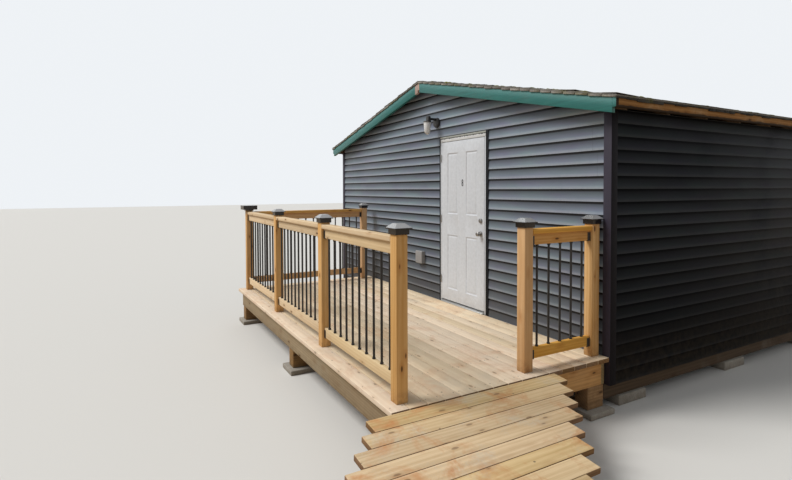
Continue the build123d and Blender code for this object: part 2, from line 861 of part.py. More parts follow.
# Rail brackets: an open-topped shoe at each end of every rail on edge
shoe_width = plank + 2 * bracket_play + 2 * bracket_wall
with BuildPart() as rail_brackets:
    for start, along, clear in rail_bays.values():
        for level in rail_levels:
            for end, inward in ((0, 1), (clear, -1)):
                floor_height = level - bracket_play - bracket_wall
                with BuildSketch(bay_plane(start, along, floor_height)):
                    with Locations((end + inward * bracket_depth / 2, 0)):
                        Rectangle(bracket_depth, shoe_width)
                extrude(amount=rail_size * 0.85)
                with BuildSketch(bay_plane(start, along, floor_height + bracket_wall)):
                    with Locations((end + inward * (bracket_wall + bracket_depth / 2), 0)):
                        Rectangle(bracket_depth, plank + 2 * bracket_play)
                extrude(amount=rail_size, mode=Mode.SUBTRACT)
save(rail_brackets.part, "rail_brackets")

# Ramp: boards in one sloping plane, square to the slope, on skewed stringers
ramp_plane = Plane(
    origin=(deck_right + ramp_gap, front - ramp_front_reach, deck_top - ramp_drop),
    x_dir=(cos(ramp_angle), 0, -sin(ramp_angle)),
    z_dir=(sin(ramp_angle), 0, cos(ramp_angle)),
)
board_offsets = [sum(ramp_shifts[: count + 1]) for count in range(ramp_count)]
with BuildPart() as ramp_boards:
    with BuildSketch(ramp_plane):
        for count, offset in enumerate(board_offsets):
            with Locations((count * ramp_board_pitch + deck_board_width / 2, ramp_board_length / 2 - offset)):
                Rectangle(deck_board_width, ramp_board_length)
    extrude(amount=-plank)
save(ramp_boards.part, "ramp_boards")

ramp_length = ramp_count * ramp_board_pitch
stringer_start = -deck_overhang - ramp_gap
skew = ramp_skew / (ramp_length - ramp_board_pitch)
with BuildPart() as ramp_stringers:
    with BuildSketch(ramp_plane.offset(-plank)):
        for inset in stringer_insets:
            start_y = inset - skew * stringer_start
            end_y = inset - skew * ramp_length
            with BuildLine():
                Polyline(
                    (stringer_start, start_y),
                    (ramp_length, end_y),
                    (ramp_length, end_y + plank / cos(atan(skew))),
                    (stringer_start, start_y + plank / cos(atan(skew))),
                    close=True,
                )
            make_face()
    extrude(amount=-stringer_height)
    split(bisect_by=Plane.YZ.offset(rim_right), keep=Keep.TOP)
save(ramp_stringers.part, "ramp_stringers")

# Trestles: a cross beam under the stringers, on three legs that reach the ground
beam_plane = ramp_plane.offset(-plank - stringer_height)
leg_plane = beam_plane.offset(-trestle_size - joint_gap)
trestle_places = [trestle_first + count * trestle_pitch for count in range(trestle_count)]
with BuildPart() as ramp_trestles:
    for place in trestle_places:
        low = stringer_insets[0] - skew * place
        high = stringer_insets[-1] - skew * place + plank
        for y in (low, (low + high) / 2, high):
            foot = leg_plane.from_local_coords((place, y, 0))
            with BuildSketch():
                with Locations((foot.X, foot.Y)):
                    Rectangle(trestle_size, trestle_size)
            extrude(amount=foot.Z + trestle_size)
    split(bisect_by=leg_plane, keep=Keep.BOTTOM)
    with BuildSketch(beam_plane):
        for place in trestle_places:
            middle = (stringer_insets[0] + stringer_insets[-1] + plank) / 2 - skew * place
            with Locations((place, middle)):
                Rectangle(trestle_size, stringer_insets[-1] - stringer_insets[0] + plank + trestle_size)
    extrude(amount=-trestle_size)
save(ramp_trestles.part, "ramp_trestles")
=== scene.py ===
import math
import random
from contextlib import contextmanager

import bpy
from mathutils import Matrix, Vector


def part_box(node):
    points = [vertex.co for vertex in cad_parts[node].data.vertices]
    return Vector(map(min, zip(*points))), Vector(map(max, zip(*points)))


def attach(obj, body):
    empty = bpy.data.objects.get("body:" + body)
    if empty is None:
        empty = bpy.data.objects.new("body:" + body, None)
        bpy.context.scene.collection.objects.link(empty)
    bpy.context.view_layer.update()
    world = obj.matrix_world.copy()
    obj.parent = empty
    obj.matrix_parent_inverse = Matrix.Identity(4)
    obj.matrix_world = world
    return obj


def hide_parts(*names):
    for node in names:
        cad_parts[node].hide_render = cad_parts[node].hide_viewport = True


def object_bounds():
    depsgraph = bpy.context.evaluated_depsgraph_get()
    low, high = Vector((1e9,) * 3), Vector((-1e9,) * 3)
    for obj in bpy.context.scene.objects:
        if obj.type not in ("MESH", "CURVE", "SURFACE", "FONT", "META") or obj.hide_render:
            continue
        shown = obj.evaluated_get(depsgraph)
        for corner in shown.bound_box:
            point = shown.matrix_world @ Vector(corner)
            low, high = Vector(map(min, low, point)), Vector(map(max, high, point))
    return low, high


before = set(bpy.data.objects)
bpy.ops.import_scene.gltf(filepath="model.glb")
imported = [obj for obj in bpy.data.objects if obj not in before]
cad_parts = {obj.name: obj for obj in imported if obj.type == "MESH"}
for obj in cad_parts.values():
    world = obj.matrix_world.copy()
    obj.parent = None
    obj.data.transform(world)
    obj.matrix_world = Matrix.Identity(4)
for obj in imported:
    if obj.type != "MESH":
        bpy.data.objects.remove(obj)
cad_low, cad_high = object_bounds()
dice = random.Random(11)
between = dice.uniform
move_by, turn_by, size_by = Matrix.Translation, Matrix.Rotation, Matrix.Diagonal

# Places read from the CAD parts
side_low, side_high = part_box("side_siding")
wall_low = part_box("front_siding")[0]
front_face, right_face, left_face = wall_low.y, side_high.x, side_low.x
deck_low, deck_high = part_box("deck_boards")
floor_top = deck_high.z
siding_bottom = wall_low.z
ridge_x = (left_face + right_face) / 2

# Sizes that the pieces share, in metres
siding_exposure, siding_length = 0.1143, 3.66
plank = 0.038
sawn_edge, painted_edge, moulded_edge = 0.003, 0.002, 0.0015
roof_slope = 0.225
ridge_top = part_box("roof_sheathing")[1].z + plank / 2 * roof_slope


# -------- handling pieces


def show(piece):
    bpy.context.scene.collection.objects.link(piece)


def take(*pieces):
    """Selects these pieces alone, the first one active."""
    bpy.ops.object.select_all(action="DESELECT")
    for piece in pieces:
        piece.select_set(True)
    bpy.context.view_layer.objects.active = pieces[0]


@contextmanager
def open_mesh(piece, pick="SELECT"):
    """Opens a piece's mesh, with all of it picked, none, or what was picked before where pick is None."""
    take(piece)
    bpy.ops.object.mode_set(mode="EDIT")
    if pick:
        bpy.ops.mesh.select_all(action=pick)
    yield
    bpy.ops.object.mode_set(mode="OBJECT")


def pick_faces(piece, chosen):
    """Picks the faces that a test chooses, for the next edit."""
    for face in piece.data.polygons:
        face.select = chosen(face)


def discard(*patterns):
    """Removes the patterns that copies were made from."""
    for pattern in patterns:
        bpy.data.objects.remove(pattern)


def settle(piece):
    """Puts the piece's place into its mesh."""
    take(piece)
    bpy.ops.object.transform_apply(location=True, rotation=True, scale=True)
    return piece


def block(name, low, high):
    """A squared block between two corners, to be shaped further."""
    low, high = Vector(low), Vector(high)
    bpy.ops.mesh.primitive_cube_add(size=1, location=(low + high) / 2)
    piece = bpy.context.object
    piece.name = name
    piece.scale = high - low
    return settle(piece)


def round_bar(name, radius, height, sides):
    """An upright round bar with its middle at the origin, to be shaped further."""
    bpy.ops.mesh.primitive_cylinder_add(vertices=sides, radius=radius, depth=height)
    piece = bpy.context.object
    piece.name = name
    return settle(piece)


def soften(piece, width, segments=2, angle=30, smooth=40):
    """Rounds the sharp edges by a real radius."""
    take(piece)
    bevel = piece.modifiers.new("edges", "BEVEL")
    bevel.width = width
    bevel.segments = segments
    bevel.limit_method = "ANGLE"
    bevel.angle_limit = math.radians(angle)
    bpy.ops.object.modifier_apply(modifier=bevel.name)
    bpy.ops.object.shade_smooth_by_angle(angle=math.radians(smooth))
    return piece


def merged_copy(node, name):
    """A copy of a CAD node's mesh with its triangles merged to whole faces."""
    piece = bpy.data.objects.new(name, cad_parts[node].data.copy())
    show(piece)
    with open_mesh(piece):
        bpy.ops.mesh.remove_doubles(threshold=0.00003)
        bpy.ops.mesh.dissolve_limited(angle_limit=math.radians(1.5))
    piece.data.materials.clear()
    return piece


def extent(piece):
    corners = [piece.matrix_world @ vertex.co for vertex in piece.data.vertices]
    low = Vector([min(corner[axis] for corner in corners) for axis in range(3)])
    high = Vector([max(corner[axis] for corner in corners) for axis in range(3)])
    return low, high


def middle(piece):
    low, high = extent(piece)
    return (low + high) / 2


def loose_parts(piece):
    """Splits a piece into its loose parts, in an order that stays the same."""
    with open_mesh(piece):
        bpy.ops.mesh.separate(type="LOOSE")
    return sorted(bpy.context.selected_objects, key=lambda part: tuple(round(v, 4) for v in middle(part)))


def joined(name, pieces):
    take(*pieces)
    if len(pieces) > 1:
        bpy.ops.object.join()
    bpy.context.object.name = name
    return bpy.context.object


def copied(piece, matrix):
    """A copy with a mesh of its own, moved by a matrix."""
    twin = piece.copy()
    twin.data = piece.data.copy()
    twin.data.transform(matrix)
    show(twin)
    return twin


def face_outward(piece):
    """Turns the normals outward again after a mirrored copy."""
    with open_mesh(piece):
        bpy.ops.mesh.normals_make_consistent(inside=False)


def give_tone(piece, value=None):
    """Every board or shingle has a tone of its own, which its material reads."""
    tone = dice.random() if value is None else value
    layer = piece.data.attributes.get("tone") or piece.data.attributes.new("tone", "FLOAT", "POINT")
    layer.data.foreach_set("value", [tone] * len(piece.data.vertices))
    return piece


def hand_over(piece, material, slot, *nodes, body="cottage"):
    """The finished piece: its material, the body it rides on and the nodes it stands for; slot is not used."""
    if material is not None:
        piece.data.materials.clear()
        piece.data.materials.append(material)
    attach(piece, body)
    if nodes:
        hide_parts(*nodes)
    return piece


def soft_copy(node, name, material, slot, edge, segments=2, angle=30, body="cottage"):
    """A CAD node's solids with rounded edges, in a finish of their own."""
    return hand_over(soften(merged_copy(node, name), edge, segments, angle), material, slot, node, body=body)


def dress(node, material):
    """A CAD node that shows as it is, in a finish of its own."""
    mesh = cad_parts[node].data
    mesh.materials.clear()
    mesh.materials.append(material)


def refinish(piece, material, chosen):
    """Gives the faces that a test picks a finish of their own."""
    piece.data.materials.append(material)
    for face in piece.data.polygons:
        if chosen(face):
            face.material_index = len(piece.data.materials) - 1


# -------- building materials


def feed(socket, value):
    if isinstance(value, bpy.types.NodeSocket):
        socket.id_data.links.new(value, socket)
    elif value is not None:
        socket.default_value = value


def tree_of(*values):
    """The tree that these values come from."""
    return next(value.id_data for value in values if isinstance(value, bpy.types.NodeSocket))


def put(kind, settings=None, tree=None, **sockets):
    """A new node, in the tree of what feeds it; an underscore in a socket's name stands for a space."""
    node = (tree or tree_of(*sockets.values())).nodes.new("ShaderNode" + kind)
    for key, value in (settings or {}).items():
        setattr(node, key, value)
    for key, value in sockets.items():
        feed(node.inputs[key.replace("_", " ")], value)
    return node


def calc(operation, *values, clamp=False):
    node = put("Math", {"operation": operation, "use_clamp": clamp}, tree_of(*values))
    for socket, value in zip(node.inputs, values):
        feed(socket, value)
    return node.outputs[0]


def call_for(operation):
    """A shorter call for one operation."""
    return lambda *values: calc(operation, *values)


plus, minus, times, times_plus = map(call_for, ("ADD", "SUBTRACT", "MULTIPLY", "MULTIPLY_ADD"))


def dimmed(colour, share):
    return [part * share for part in colour]


def blend(factor, first, second):
    """From the first colour to the second, each of them red, green and blue or a socket."""
    node = put("Mix", {"data_type": "RGBA"}, tree_of(factor))
    feed(node.inputs[0], factor)
    for number, colour in ((6, first), (7, second)):
        feed(node.inputs[number], colour if isinstance(colour, bpy.types.NodeSocket) else (*colour, 1))
    return node.outputs[2]


def coat(under, mask, strength, colour):
    """A colour laid over another where a mask is high, at this strength at most."""
    return blend(times(mask, strength), under, colour)


def remap(value, from_low, from_high, to_low=0.0, to_high=1.0):
    return put("MapRange", Value=value, From_Min=from_low, From_Max=from_high, To_Min=to_low, To_Max=to_high).outputs[0]


def noise(vector, scale, detail=4.0, roughness=0.55, distortion=0.0):
    node = put("TexNoise", Vector=vector, Scale=scale, Detail=detail, Roughness=roughness, Distortion=distortion)
    return node.outputs["Fac"]


def stretched(vector, scale, rotation=(0, 0, 0)):
    return put("Mapping", Vector=vector, Scale=scale, Rotation=rotation).outputs[0]


def drawn_noise(place, stretch, detail=4, roughness=0.55, distortion=0.0):
    """Noise with a scale of its own along each axis."""
    return noise(stretched(place, stretch), 1.0, detail, roughness, distortion)


def axes_of(place):
    return put("SeparateXYZ", Vector=place).outputs


def own_tone(place):
    return put("Attribute", {"attribute_name": "tone"}, tree_of(place)).outputs["Fac"]


def new_group(name, **inputs):
    """A group's tree, and the inputs it takes: values, and a vector where no value is given."""
    tree = bpy.data.node_groups.new(name, "ShaderNodeTree")
    for title, default in inputs.items():
        kind = "NodeSocketVector" if default is None else "NodeSocketFloat"
        socket = tree.interface.new_socket(title, in_out="INPUT", socket_type=kind)
        if default is not None:
            socket.default_value = default
    return tree, *list(tree.nodes.new("NodeGroupInput").outputs)[:len(inputs)]


def closed_group(tree, **values):
    """Closes a group with the values that it puts out."""
    for title in values:
        tree.interface.new_socket(title, in_out="OUTPUT", socket_type="NodeSocketFloat")
    ends = tree.nodes.new("NodeGroupOutput").inputs
    for title, value in values.items():
        feed(ends[title], value)
    return tree


def place_group(group, **sockets):
    return put("Group", {"node_tree": group}, **sockets).outputs


def new_material(name):
    """An empty material and the place on the object that its patterns go by."""
    material = bpy.data.materials.new(name)
    material.use_nodes = True
    tree = material.node_tree
    tree.nodes.clear()
    return material, put("TexCoord", tree=tree).outputs["Object"]


def surfaced(material, colour, roughness, relief=None, depth=0, strength=0, **more):
    """Closes a material with the surface that shows these values, its relief this deep and this strong."""
    if relief:
        more["Normal"] = put("Bump", Height=relief, Distance=depth, Strength=strength).outputs[0]
    surface = put("BsdfPrincipled", Base_Color=colour, Roughness=roughness, **more)
    put("OutputMaterial", Surface=surface.outputs[0])
    return material


def timber_figure():
    """Sawn timber: long streaks, arches, pores and knots, along X, each board with a figure of its own."""
    tree, place, tone, knots = new_group("Timber figure", Vector=None, Tone=0.5, Knots=1.0)
    shift = put("CombineXYZ", X=times(tone, 61.0), Y=times(tone, 17.3), Z=times(tone, 23.9))
    moved = put("VectorMath", {"operation": "ADD"}, tree)
    feed(moved.inputs[0], place)
    feed(moved.inputs[1], shift.outputs[0])
    place = moved.outputs[0]
    broad_tone = drawn_noise(place, (0.9, 6, 8), 4, 0.55, 0.6)
    streaks = drawn_noise(place, (0.6, 120, 120), 3, 0.6, 0.3)
    pores = noise(stretched(place, (5, 170, 170)), 2.2, 3, 0.6)
    arches = put(
        "TexWave", {"wave_type": "RINGS", "rings_direction": "X"}, Vector=stretched(place, (0.42, 5.2, 5.2)),
        Scale=2.6, Distortion=5.5, Detail=3.0, Detail_Scale=0.8,
    ).outputs["Fac"]
    cells = put("TexVoronoi", Vector=stretched(place, (4.0, 10.5, 10.5)), Scale=1.0).outputs
    reach = times_plus(streaks, 0.05, cells["Distance"])
    figure = times_plus(broad_tone, 0.46, times(streaks, 0.22))
    figure = times_plus(arches, 0.1, figure)
    figure = times_plus(pores, 0.12, figure)
    return closed_group(
        tree, Figure=figure, Knot=calc("MULTIPLY", remap(reach, 0.145, 0.105), knots, clamp=True),
        Halo=calc("MULTIPLY", remap(reach, 0.34, 0.12), knots, clamp=True),
        Height=times_plus(pores, 0.7, figure),
    )


def weathering():
    """Broad soft patches broken up by fine grit."""
    tree, place, scale, cover = new_group("Weathering", Vector=None, Scale=2.0, Cover=0.4)
    broad = noise(place, scale, 5, 0.62, 0.4)
    grit = noise(place, times(scale, 34.0), 4, 0.7)
    raised = plus(broad, times(minus(grit, 0.5), 0.35))
    edge = minus(0.78, times(cover, 0.5))
    return closed_group(tree, Patches=remap(minus(raised, edge), -0.08, 0.14), Grit=grit)


def ground_splash():
    """Earth and water thrown up from the ground or the deck, fading with height."""
    tree, place, reach, base = new_group("Ground splash", Vector=None, Reach=0.35, Base=0.0)
    height = minus(axes_of(place)["Z"], base)
    fade = calc("SUBTRACT", 1.0, calc("DIVIDE", height, reach), clamp=True)
    drops = noise(place, 14.0, 5, 0.7)
    return closed_group(tree, Splash=times(fade, remap(drops, 0.35, 0.7)))


def mineral_grains():
    """Fine speckle in tone and height, for shingles and concrete."""
    tree, place, size = new_group("Mineral grains", Vector=None, Size=300.0)
    cells = put("TexVoronoi", Vector=place, Scale=size).outputs
    speckle = put("SeparateColor", Color=cells["Color"]).outputs[0]
    return closed_group(tree, Speckle=speckle, Height=minus(1.0, cells["Distance"]))


timber_group, weather_group = timber_figure(), weathering()
splash_group, grains_group = ground_splash(), mineral_grains()


def weathered(place, scale, cover):
    return place_group(weather_group, Vector=place, Scale=scale, Cover=cover)


def splashed(place, reach, base=0.0):
    return place_group(splash_group, Vector=place, Reach=reach, Base=base)["Splash"]


turn_to_x = {"X": (0, 0, 0), "Y": (0, 0, math.pi / 2), "Z": (0, math.pi / 2, 0)}


def timber(name, along, pale, dark, knots=1.0, grey=0.25, grey_colour=(0.3, 0.27, 0.23), splash=0.0, base=0.0,
           stain=(0.09, 0.06, 0.04), specks=0.0, rust=0.0, rough=0.72):
    """A timber finish with its figure along one axis."""
    material, place = new_material(f"{name} {along}")
    along_x = stretched(place, (1, 1, 1), turn_to_x[along])
    tone = own_tone(place)
    figure, knot, halo, relief = place_group(timber_group, Vector=along_x, Tone=tone, Knots=knots)
    patches, grit = weathered(place, scale=2.3, cover=0.35)
    colour = blend(remap(figure, 0.3, 0.6), dark, pale)
    second_tone = calc("FRACT", times(tone, 13.7))
    colour = put("HueSaturation", Color=colour, Value=remap(tone, 0, 1, 0.87, 1.1),
                 Saturation=remap(second_tone, 0, 1, 0.88, 1.08),
                 Hue=remap(second_tone, 0, 1, 0.4955, 0.5045)).outputs[0]
    colour = coat(colour, patches, grey, grey_colour)
    if rust:
        warm = drawn_noise(place, (3.1, 3.1, 3.1), 5, 0.7, 0.6)
        colour = coat(colour, remap(warm, 0.5, 0.68), rust, (0.5, 0.21, 0.075))
    colour = coat(colour, halo, 0.45, (dark[0] * 0.75, dark[1] * 0.58, dark[2] * 0.45))
    colour = coat(colour, knot, 0.85, (0.06, 0.028, 0.014))
    if specks:
        cells = put("TexVoronoi", Vector=place, Scale=8.0).outputs
        chosen = calc("LESS_THAN", put("SeparateColor", Color=cells["Color"]).outputs[0], specks)
        reach = times_plus(grit, 0.06, cells["Distance"])
        fleck = times(remap(reach, 0.105, 0.07), chosen)
        colour = coat(colour, fleck, 0.8, (0.1, 0.075, 0.05))
    if splash:
        colour = coat(colour, splashed(place, splash, base), 0.8, stain)
    return surfaced(material, colour, remap(figure, 0, 1, rough + 0.12, rough - 0.08),
                    relief, 0.001, 0.4, Specular_IOR_Level=0.25)


def timbers(name, axes, *colours, **more):
    return {along: timber(name, along, *colours, **more) for along in axes}


post_timber = timbers("Treated post timber", "XYZ", (0.79, 0.51, 0.24), (0.57, 0.3, 0.095), grey=0.1,
                      splash=0.11, base=floor_top, stain=(0.15, 0.065, 0.025))
gate_timber = timbers("Fresh gate rail timber", "Y", (0.78, 0.44, 0.115), (0.55, 0.26, 0.05), grey=0.1)
rail_timber = timbers("Rail timber", "X", (0.8, 0.64, 0.43), (0.64, 0.47, 0.28), grey=0.12)
deck_timber = timbers("Deck board timber", "XYZ", (0.81, 0.68, 0.52), (0.68, 0.545, 0.385), knots=0.6,
                      grey=0.3, grey_colour=(0.44, 0.41, 0.35), specks=0.42, rust=0.3)
rim_timber = timbers("Deck frame timber", "XZ", (0.44, 0.35, 0.21), (0.28, 0.2, 0.11), grey=0.45,
                     grey_colour=(0.34, 0.31, 0.24), splash=0.42)
rim_timber["Y"] = timber("Fresh deck end timber", "Y", (0.66, 0.37, 0.105), (0.44, 0.215, 0.05), grey=0.12,
                         splash=0.3)
ramp_timber = timbers("Ramp board timber", "Y", (0.74, 0.57, 0.35), (0.5, 0.35, 0.18), knots=0.6, grey=0.7,
                      grey_colour=(0.52, 0.49, 0.42), specks=0.5, rust=0.75)
gap_shade_timber = timbers("Board edges in painted shade", "XY", (0.3, 0.175, 0.085), (0.16, 0.085, 0.04), knots=0.0, grey=0.3)
under_timber = timbers("Sheltered framing", "XYZ", (0.4, 0.24, 0.11), (0.21, 0.12, 0.05), grey=0.3, splash=0.4)
shaded_ground_timber = timbers("Ground timber in painted shade", "XYZ", (0.12, 0.085, 0.055), (0.055, 0.037, 0.025), grey=0.3,
                        splash=0.3)
eave_timber = timbers("Bare eave timber", "XYZ", (0.44, 0.225, 0.06), (0.18, 0.08, 0.018), grey=0.65,
                      grey_colour=(0.5, 0.38, 0.24), rough=0.85)
shaded_rafter_timber = timbers("Rafter timber in painted shade", "XYZ", (0.15, 0.1, 0.06), (0.07, 0.045, 0.028), grey=0.3)
ridge_timber = timbers("Bare ridge timber", "XYZ", (0.56, 0.42, 0.37), (0.38, 0.27, 0.22), grey=0.3)


def darken_edges(material, bottom, front, back):
    """A ragged, nearly black band along a board's lower edge, and painted shadow round its two ends."""
    tree = material.node_tree
    surface = next(node for node in tree.nodes if node.type == "BSDF_PRINCIPLED")
    colour = surface.inputs["Base Color"].links[0].from_socket
    place = put("TexCoord", tree=tree).outputs["Object"]
    parts = axes_of(place)
    ragged = drawn_noise(place, (9, 9, 22), 4, 0.65)
    from_bottom = times_plus(ragged, -0.026, parts["Z"])
    from_end = calc("MINIMUM", minus(parts["Y"], front), minus(back, parts["Y"]))
    darkened = calc("MAXIMUM", remap(from_bottom, bottom + 0.01, bottom + 0.002),
                   remap(from_end, 0.04, 0.03), clamp=True)
    feed(surface.inputs["Base Color"], coat(colour, darkened, 0.92, (0.012, 0.009, 0.007)))


eave_low, eave_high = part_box("eave_boards")
# The eave boards: nearly black along their lower edges, with painted shadow at their ends.
darken_edges(eave_timber["Y"], eave_low.z, eave_low.y, eave_high.y)


def vinyl_siding(name, depth=1.0, sheen=0.3):
    """Grey lap siding: fine embossed grain, painted shade under each lap, a painted shadow line at the top of each
    course, a painted highlight along its lip, and darker towards the deck.
    """
    material, place = new_material(name)
    parts = axes_of(place)
    course = calc("DIVIDE", minus(parts["Z"], siding_bottom), siding_exposure)
    rise = calc("FRACT", course)
    panel_row = calc("FLOOR", calc("DIVIDE", calc("FLOOR", course), 2.0))
    row_tone = put("TexWhiteNoise", {"noise_dimensions": "1D"}, W=panel_row).outputs["Value"]
    emboss = drawn_noise(place, (14, 14, 520), 4, 0.6, 0.6)
    clouded = drawn_noise(place, (1.3, 1.3, 5.0), 4, 0.55)
    tinted = drawn_noise(place, (2.1, 2.1, 9.0), 3, 0.5)
    patches, grit = weathered(place, scale=1.1, cover=0.45)
    colour = blend(remap(clouded, 0.3, 0.7), dimmed((0.188, 0.238, 0.312), depth),
                   dimmed((0.25, 0.316, 0.412), depth))
    colour = put("HueSaturation", Color=colour, Value=remap(row_tone, 0, 1, 0.94, 1.06),
                 Hue=remap(tinted, 0.3, 0.7, 0.465, 0.535)).outputs[0]
    # Painted shade under each lap: darker up each course towards the lap above.
    colour = coat(colour, remap(rise, 0.2, 0.8), 0.8, dimmed((0.04, 0.044, 0.054), depth))
    # Darker towards the deck over the lowest metre, with the lip highlight weaker there.
    low_down = remap(parts["Z"], floor_top + 1.0, floor_top)
    low_darkening = times(low_down, remap(clouded, 0.3, 0.7, 0.72, 0.98))
    colour = blend(low_darkening, colour, dimmed((0.046, 0.049, 0.056), depth))
    # A painted shadow line, nearly black, at the top of each course under the lap above.
    colour = blend(remap(rise, 0.785, 0.855), colour, (0.003, 0.004, 0.006))
    # A painted highlight along the lower lip of each course. It fades where the siding is darker low down.
    lip = times(remap(rise, 0.28, 0.06), remap(grit, 0.2, 0.8, 0.3, 0.62))
    lip = times(lip, remap(low_darkening, 0, 1, 1.0, 0.45))
    colour = blend(lip, colour, dimmed((0.44, 0.48, 0.55), depth))
    colour = coat(colour, splashed(place, 0.75), 0.4, (0.1, 0.075, 0.05))
    along = plus(parts["X"], parts["Y"])
    joint_at = plus(times(along, 1 / siding_length), times(row_tone, 7.0))
    joint = calc("LESS_THAN", calc("FRACT", joint_at), 0.0006)
    colour = coat(colour, joint, 0.4, (0.02, 0.02, 0.02))
    relief = minus(emboss, times(joint, 2.0))
    return surfaced(material, colour, remap(patches, 0, 1, 0.46, 0.62),
                    relief, 0.0006, 0.5, Specular_IOR_Level=sheen)


def barge_paint(name):
    """Teal paint on the sloping boards: chalky along the top, worn on the lower edge, bare beside the ridge."""
    material, place = new_material(name)
    parts = axes_of(place)
    from_ridge = minus(parts["X"], ridge_x)
    up_slope = times_plus(calc("ABSOLUTE", from_ridge), roof_slope, parts["Z"])
    patches, grit = weathered(place, scale=3.0, cover=0.35)
    streaks = drawn_noise(place, (2.2, 60, 60), 4, 0.6)
    colour = blend(remap(streaks, 0.3, 0.7), (0.01, 0.118, 0.11), (0.019, 0.172, 0.162))
    broken = remap(grit, 0.25, 0.75, -0.012, 0.012)
    depth = plus(minus(ridge_top, up_slope), broken)
    colour = coat(colour, remap(depth, 0.085, 0.035), 0.55, (0.105, 0.29, 0.29))
    scuffs = times(remap(depth, 0.15, 0.168), remap(grit, 0.5, 0.6))
    colour = coat(colour, scuffs, 0.6, (0.2, 0.3, 0.27))
    colour = coat(colour, patches, 0.3, (0.1, 0.15, 0.14))
    bare = remap(plus(from_ridge, times(broken, 0.9)), -0.094, -0.08)
    bare = times(bare, calc("LESS_THAN", from_ridge, 0.0))
    colour = coat(colour, bare, 0.9, (0.5, 0.36, 0.32))
    return surfaced(material, colour, remap(grit, 0.2, 0.8, 0.36, 0.56),
                    streaks, 0.0006, 0.35)


def head_paint(name, top):
    """The white head board, black and ragged along its upper edge."""
    material, place = new_material(name)
    flakes = drawn_noise(place, (34, 34, 9), 4, 0.7)
    patches, grit = weathered(place, scale=9.0, cover=0.4)
    ragged_height = times_plus(flakes, 0.034, axes_of(place)["Z"])
    edge = remap(ragged_height, top + 0.007, top + 0.01)
    colour = coat((0.63, 0.655, 0.68), patches, 0.35, (0.42, 0.4, 0.36))
    colour = blend(edge, colour, (0.025, 0.026, 0.028))
    return surfaced(material, colour, remap(edge, 0, 1, 0.42, 0.8),
                    minus(flakes, edge), 0.001, 0.4)


def painted(name, colour, worn, rough=0.45, wear=0.3, scale=3.0, splash=0.0, sheen=0.5, grime=(0.16, 0.14, 0.11)):
    """Paint or moulded plastic with soft dirt and worn patches."""
    material, place = new_material(name)
    patches, grit = weathered(place, scale, wear)
    mottled = noise(place, scale * 9, 4, 0.6)
    shade = blend(remap(mottled, 0.3, 0.7), dimmed(colour, 0.88), colour)
    shade = coat(shade, patches, wear, worn)
    if splash:
        shade = coat(shade, splashed(place, splash), 0.5, grime)
    return surfaced(material, shade, remap(grit, 0.2, 0.8, rough - 0.06, rough + 0.12),
                    mottled, 0.0004, 0.35, Specular_IOR_Level=sheen)


def metal(name, colour, rough, metallic=1.0):
    """Metal with soft dull patches."""
    material, place = new_material(name)
    patches, grit = weathered(place, scale=9.0, cover=0.35)
    shade = coat(colour, patches, 0.35, dimmed(colour, 0.55))
    return surfaced(material, shade, remap(grit, 0.2, 0.8, rough - 0.05, rough + 0.15),
                    grit, 0.0002, 0.25, Metallic=metallic)


def mineral(name, pale, dark, size, moss=0.0, splash=0.0, toned=False):
    """Concrete or shingle: grains, blotches and, on the roof, moss."""
    material, place = new_material(name)
    speckle, height = place_group(grains_group, Vector=place, Size=size)
    patches, grit = weathered(place, scale=1.7, cover=0.5)
    colour = blend(speckle, dark, pale)
    colour = coat(colour, patches, 0.45, dimmed(dark, 0.5))
    if toned:
        tone = remap(own_tone(place), 0, 1, 0.72, 1.22)
        colour = put("HueSaturation", Color=colour, Value=tone).outputs[0]
    if moss:
        growth = weathered(stretched(place, (1, 1.3, 1)), scale=3.4, cover=moss)[0]
        tuft = noise(place, 95.0, 5, 0.7)
        green = blend(remap(tuft, 0.35, 0.7), (0.06, 0.065, 0.012), (0.24, 0.24, 0.045))
        colour = blend(growth, colour, green)
        height = plus(height, times(times(growth, tuft), 6.0))
    if splash:
        colour = coat(colour, splashed(place, splash), 0.5, (0.12, 0.09, 0.06))
    return surfaced(material, colour, 0.9, height, 0.0012, 0.6, Specular_IOR_Level=0.2)


def shade_glass(name):
    """Frosted glass, a little cloudy."""
    material, place = new_material(name)
    cloud = noise(place, 26.0, 3, 0.6)
    return surfaced(material, blend(cloud, (0.84, 0.86, 0.88), (0.93, 0.94, 0.95)),
                    remap(cloud, 0, 1, 0.3, 0.45), Transmission_Weight=0.3, IOR=1.45)


siding = vinyl_siding("Grey lap siding")
# The right side wall's siding, every colour dimmed: painted shade.
shaded_side_siding = vinyl_siding("Side siding in painted shade", depth=0.13, sheen=0.03)
corner_finish = painted("Purple-brown corner trim", (0.032, 0.027, 0.045), (0.066, 0.06, 0.078), rough=0.5,
                        splash=0.7, sheen=0.3, grime=(0.02, 0.016, 0.018))
corner_painted_shade = painted("Corner sides in painted shade", (0.01, 0.009, 0.012), (0.022, 0.02, 0.024), rough=0.6, sheen=0.1)
channel_and_shadow_finish = painted("Door channel and painted shadow", (0.006, 0.007, 0.009), (0.02, 0.02, 0.022), rough=0.6, sheen=0.15)
teal_paint = barge_paint("Teal green paint")
drip_finish = painted("Pale head strip", (0.4, 0.42, 0.4), (0.22, 0.23, 0.2), rough=0.5, wear=0.5, scale=9.0)
door_paint = painted("Off-white door paint", (0.65, 0.69, 0.755), (0.56, 0.56, 0.55), rough=0.38, wear=0.16,
                     splash=0.78)
head_finish = head_paint("Ragged head paint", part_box("door_frame")[1].z)
lining = painted("Plain wall lining", (0.6, 0.58, 0.53), (0.5, 0.47, 0.42), rough=0.7, wear=0.2, scale=1.2)
board_paint = painted("Pressed board", (0.42, 0.29, 0.16), (0.27, 0.18, 0.1), rough=0.75, wear=0.6, scale=14.0)
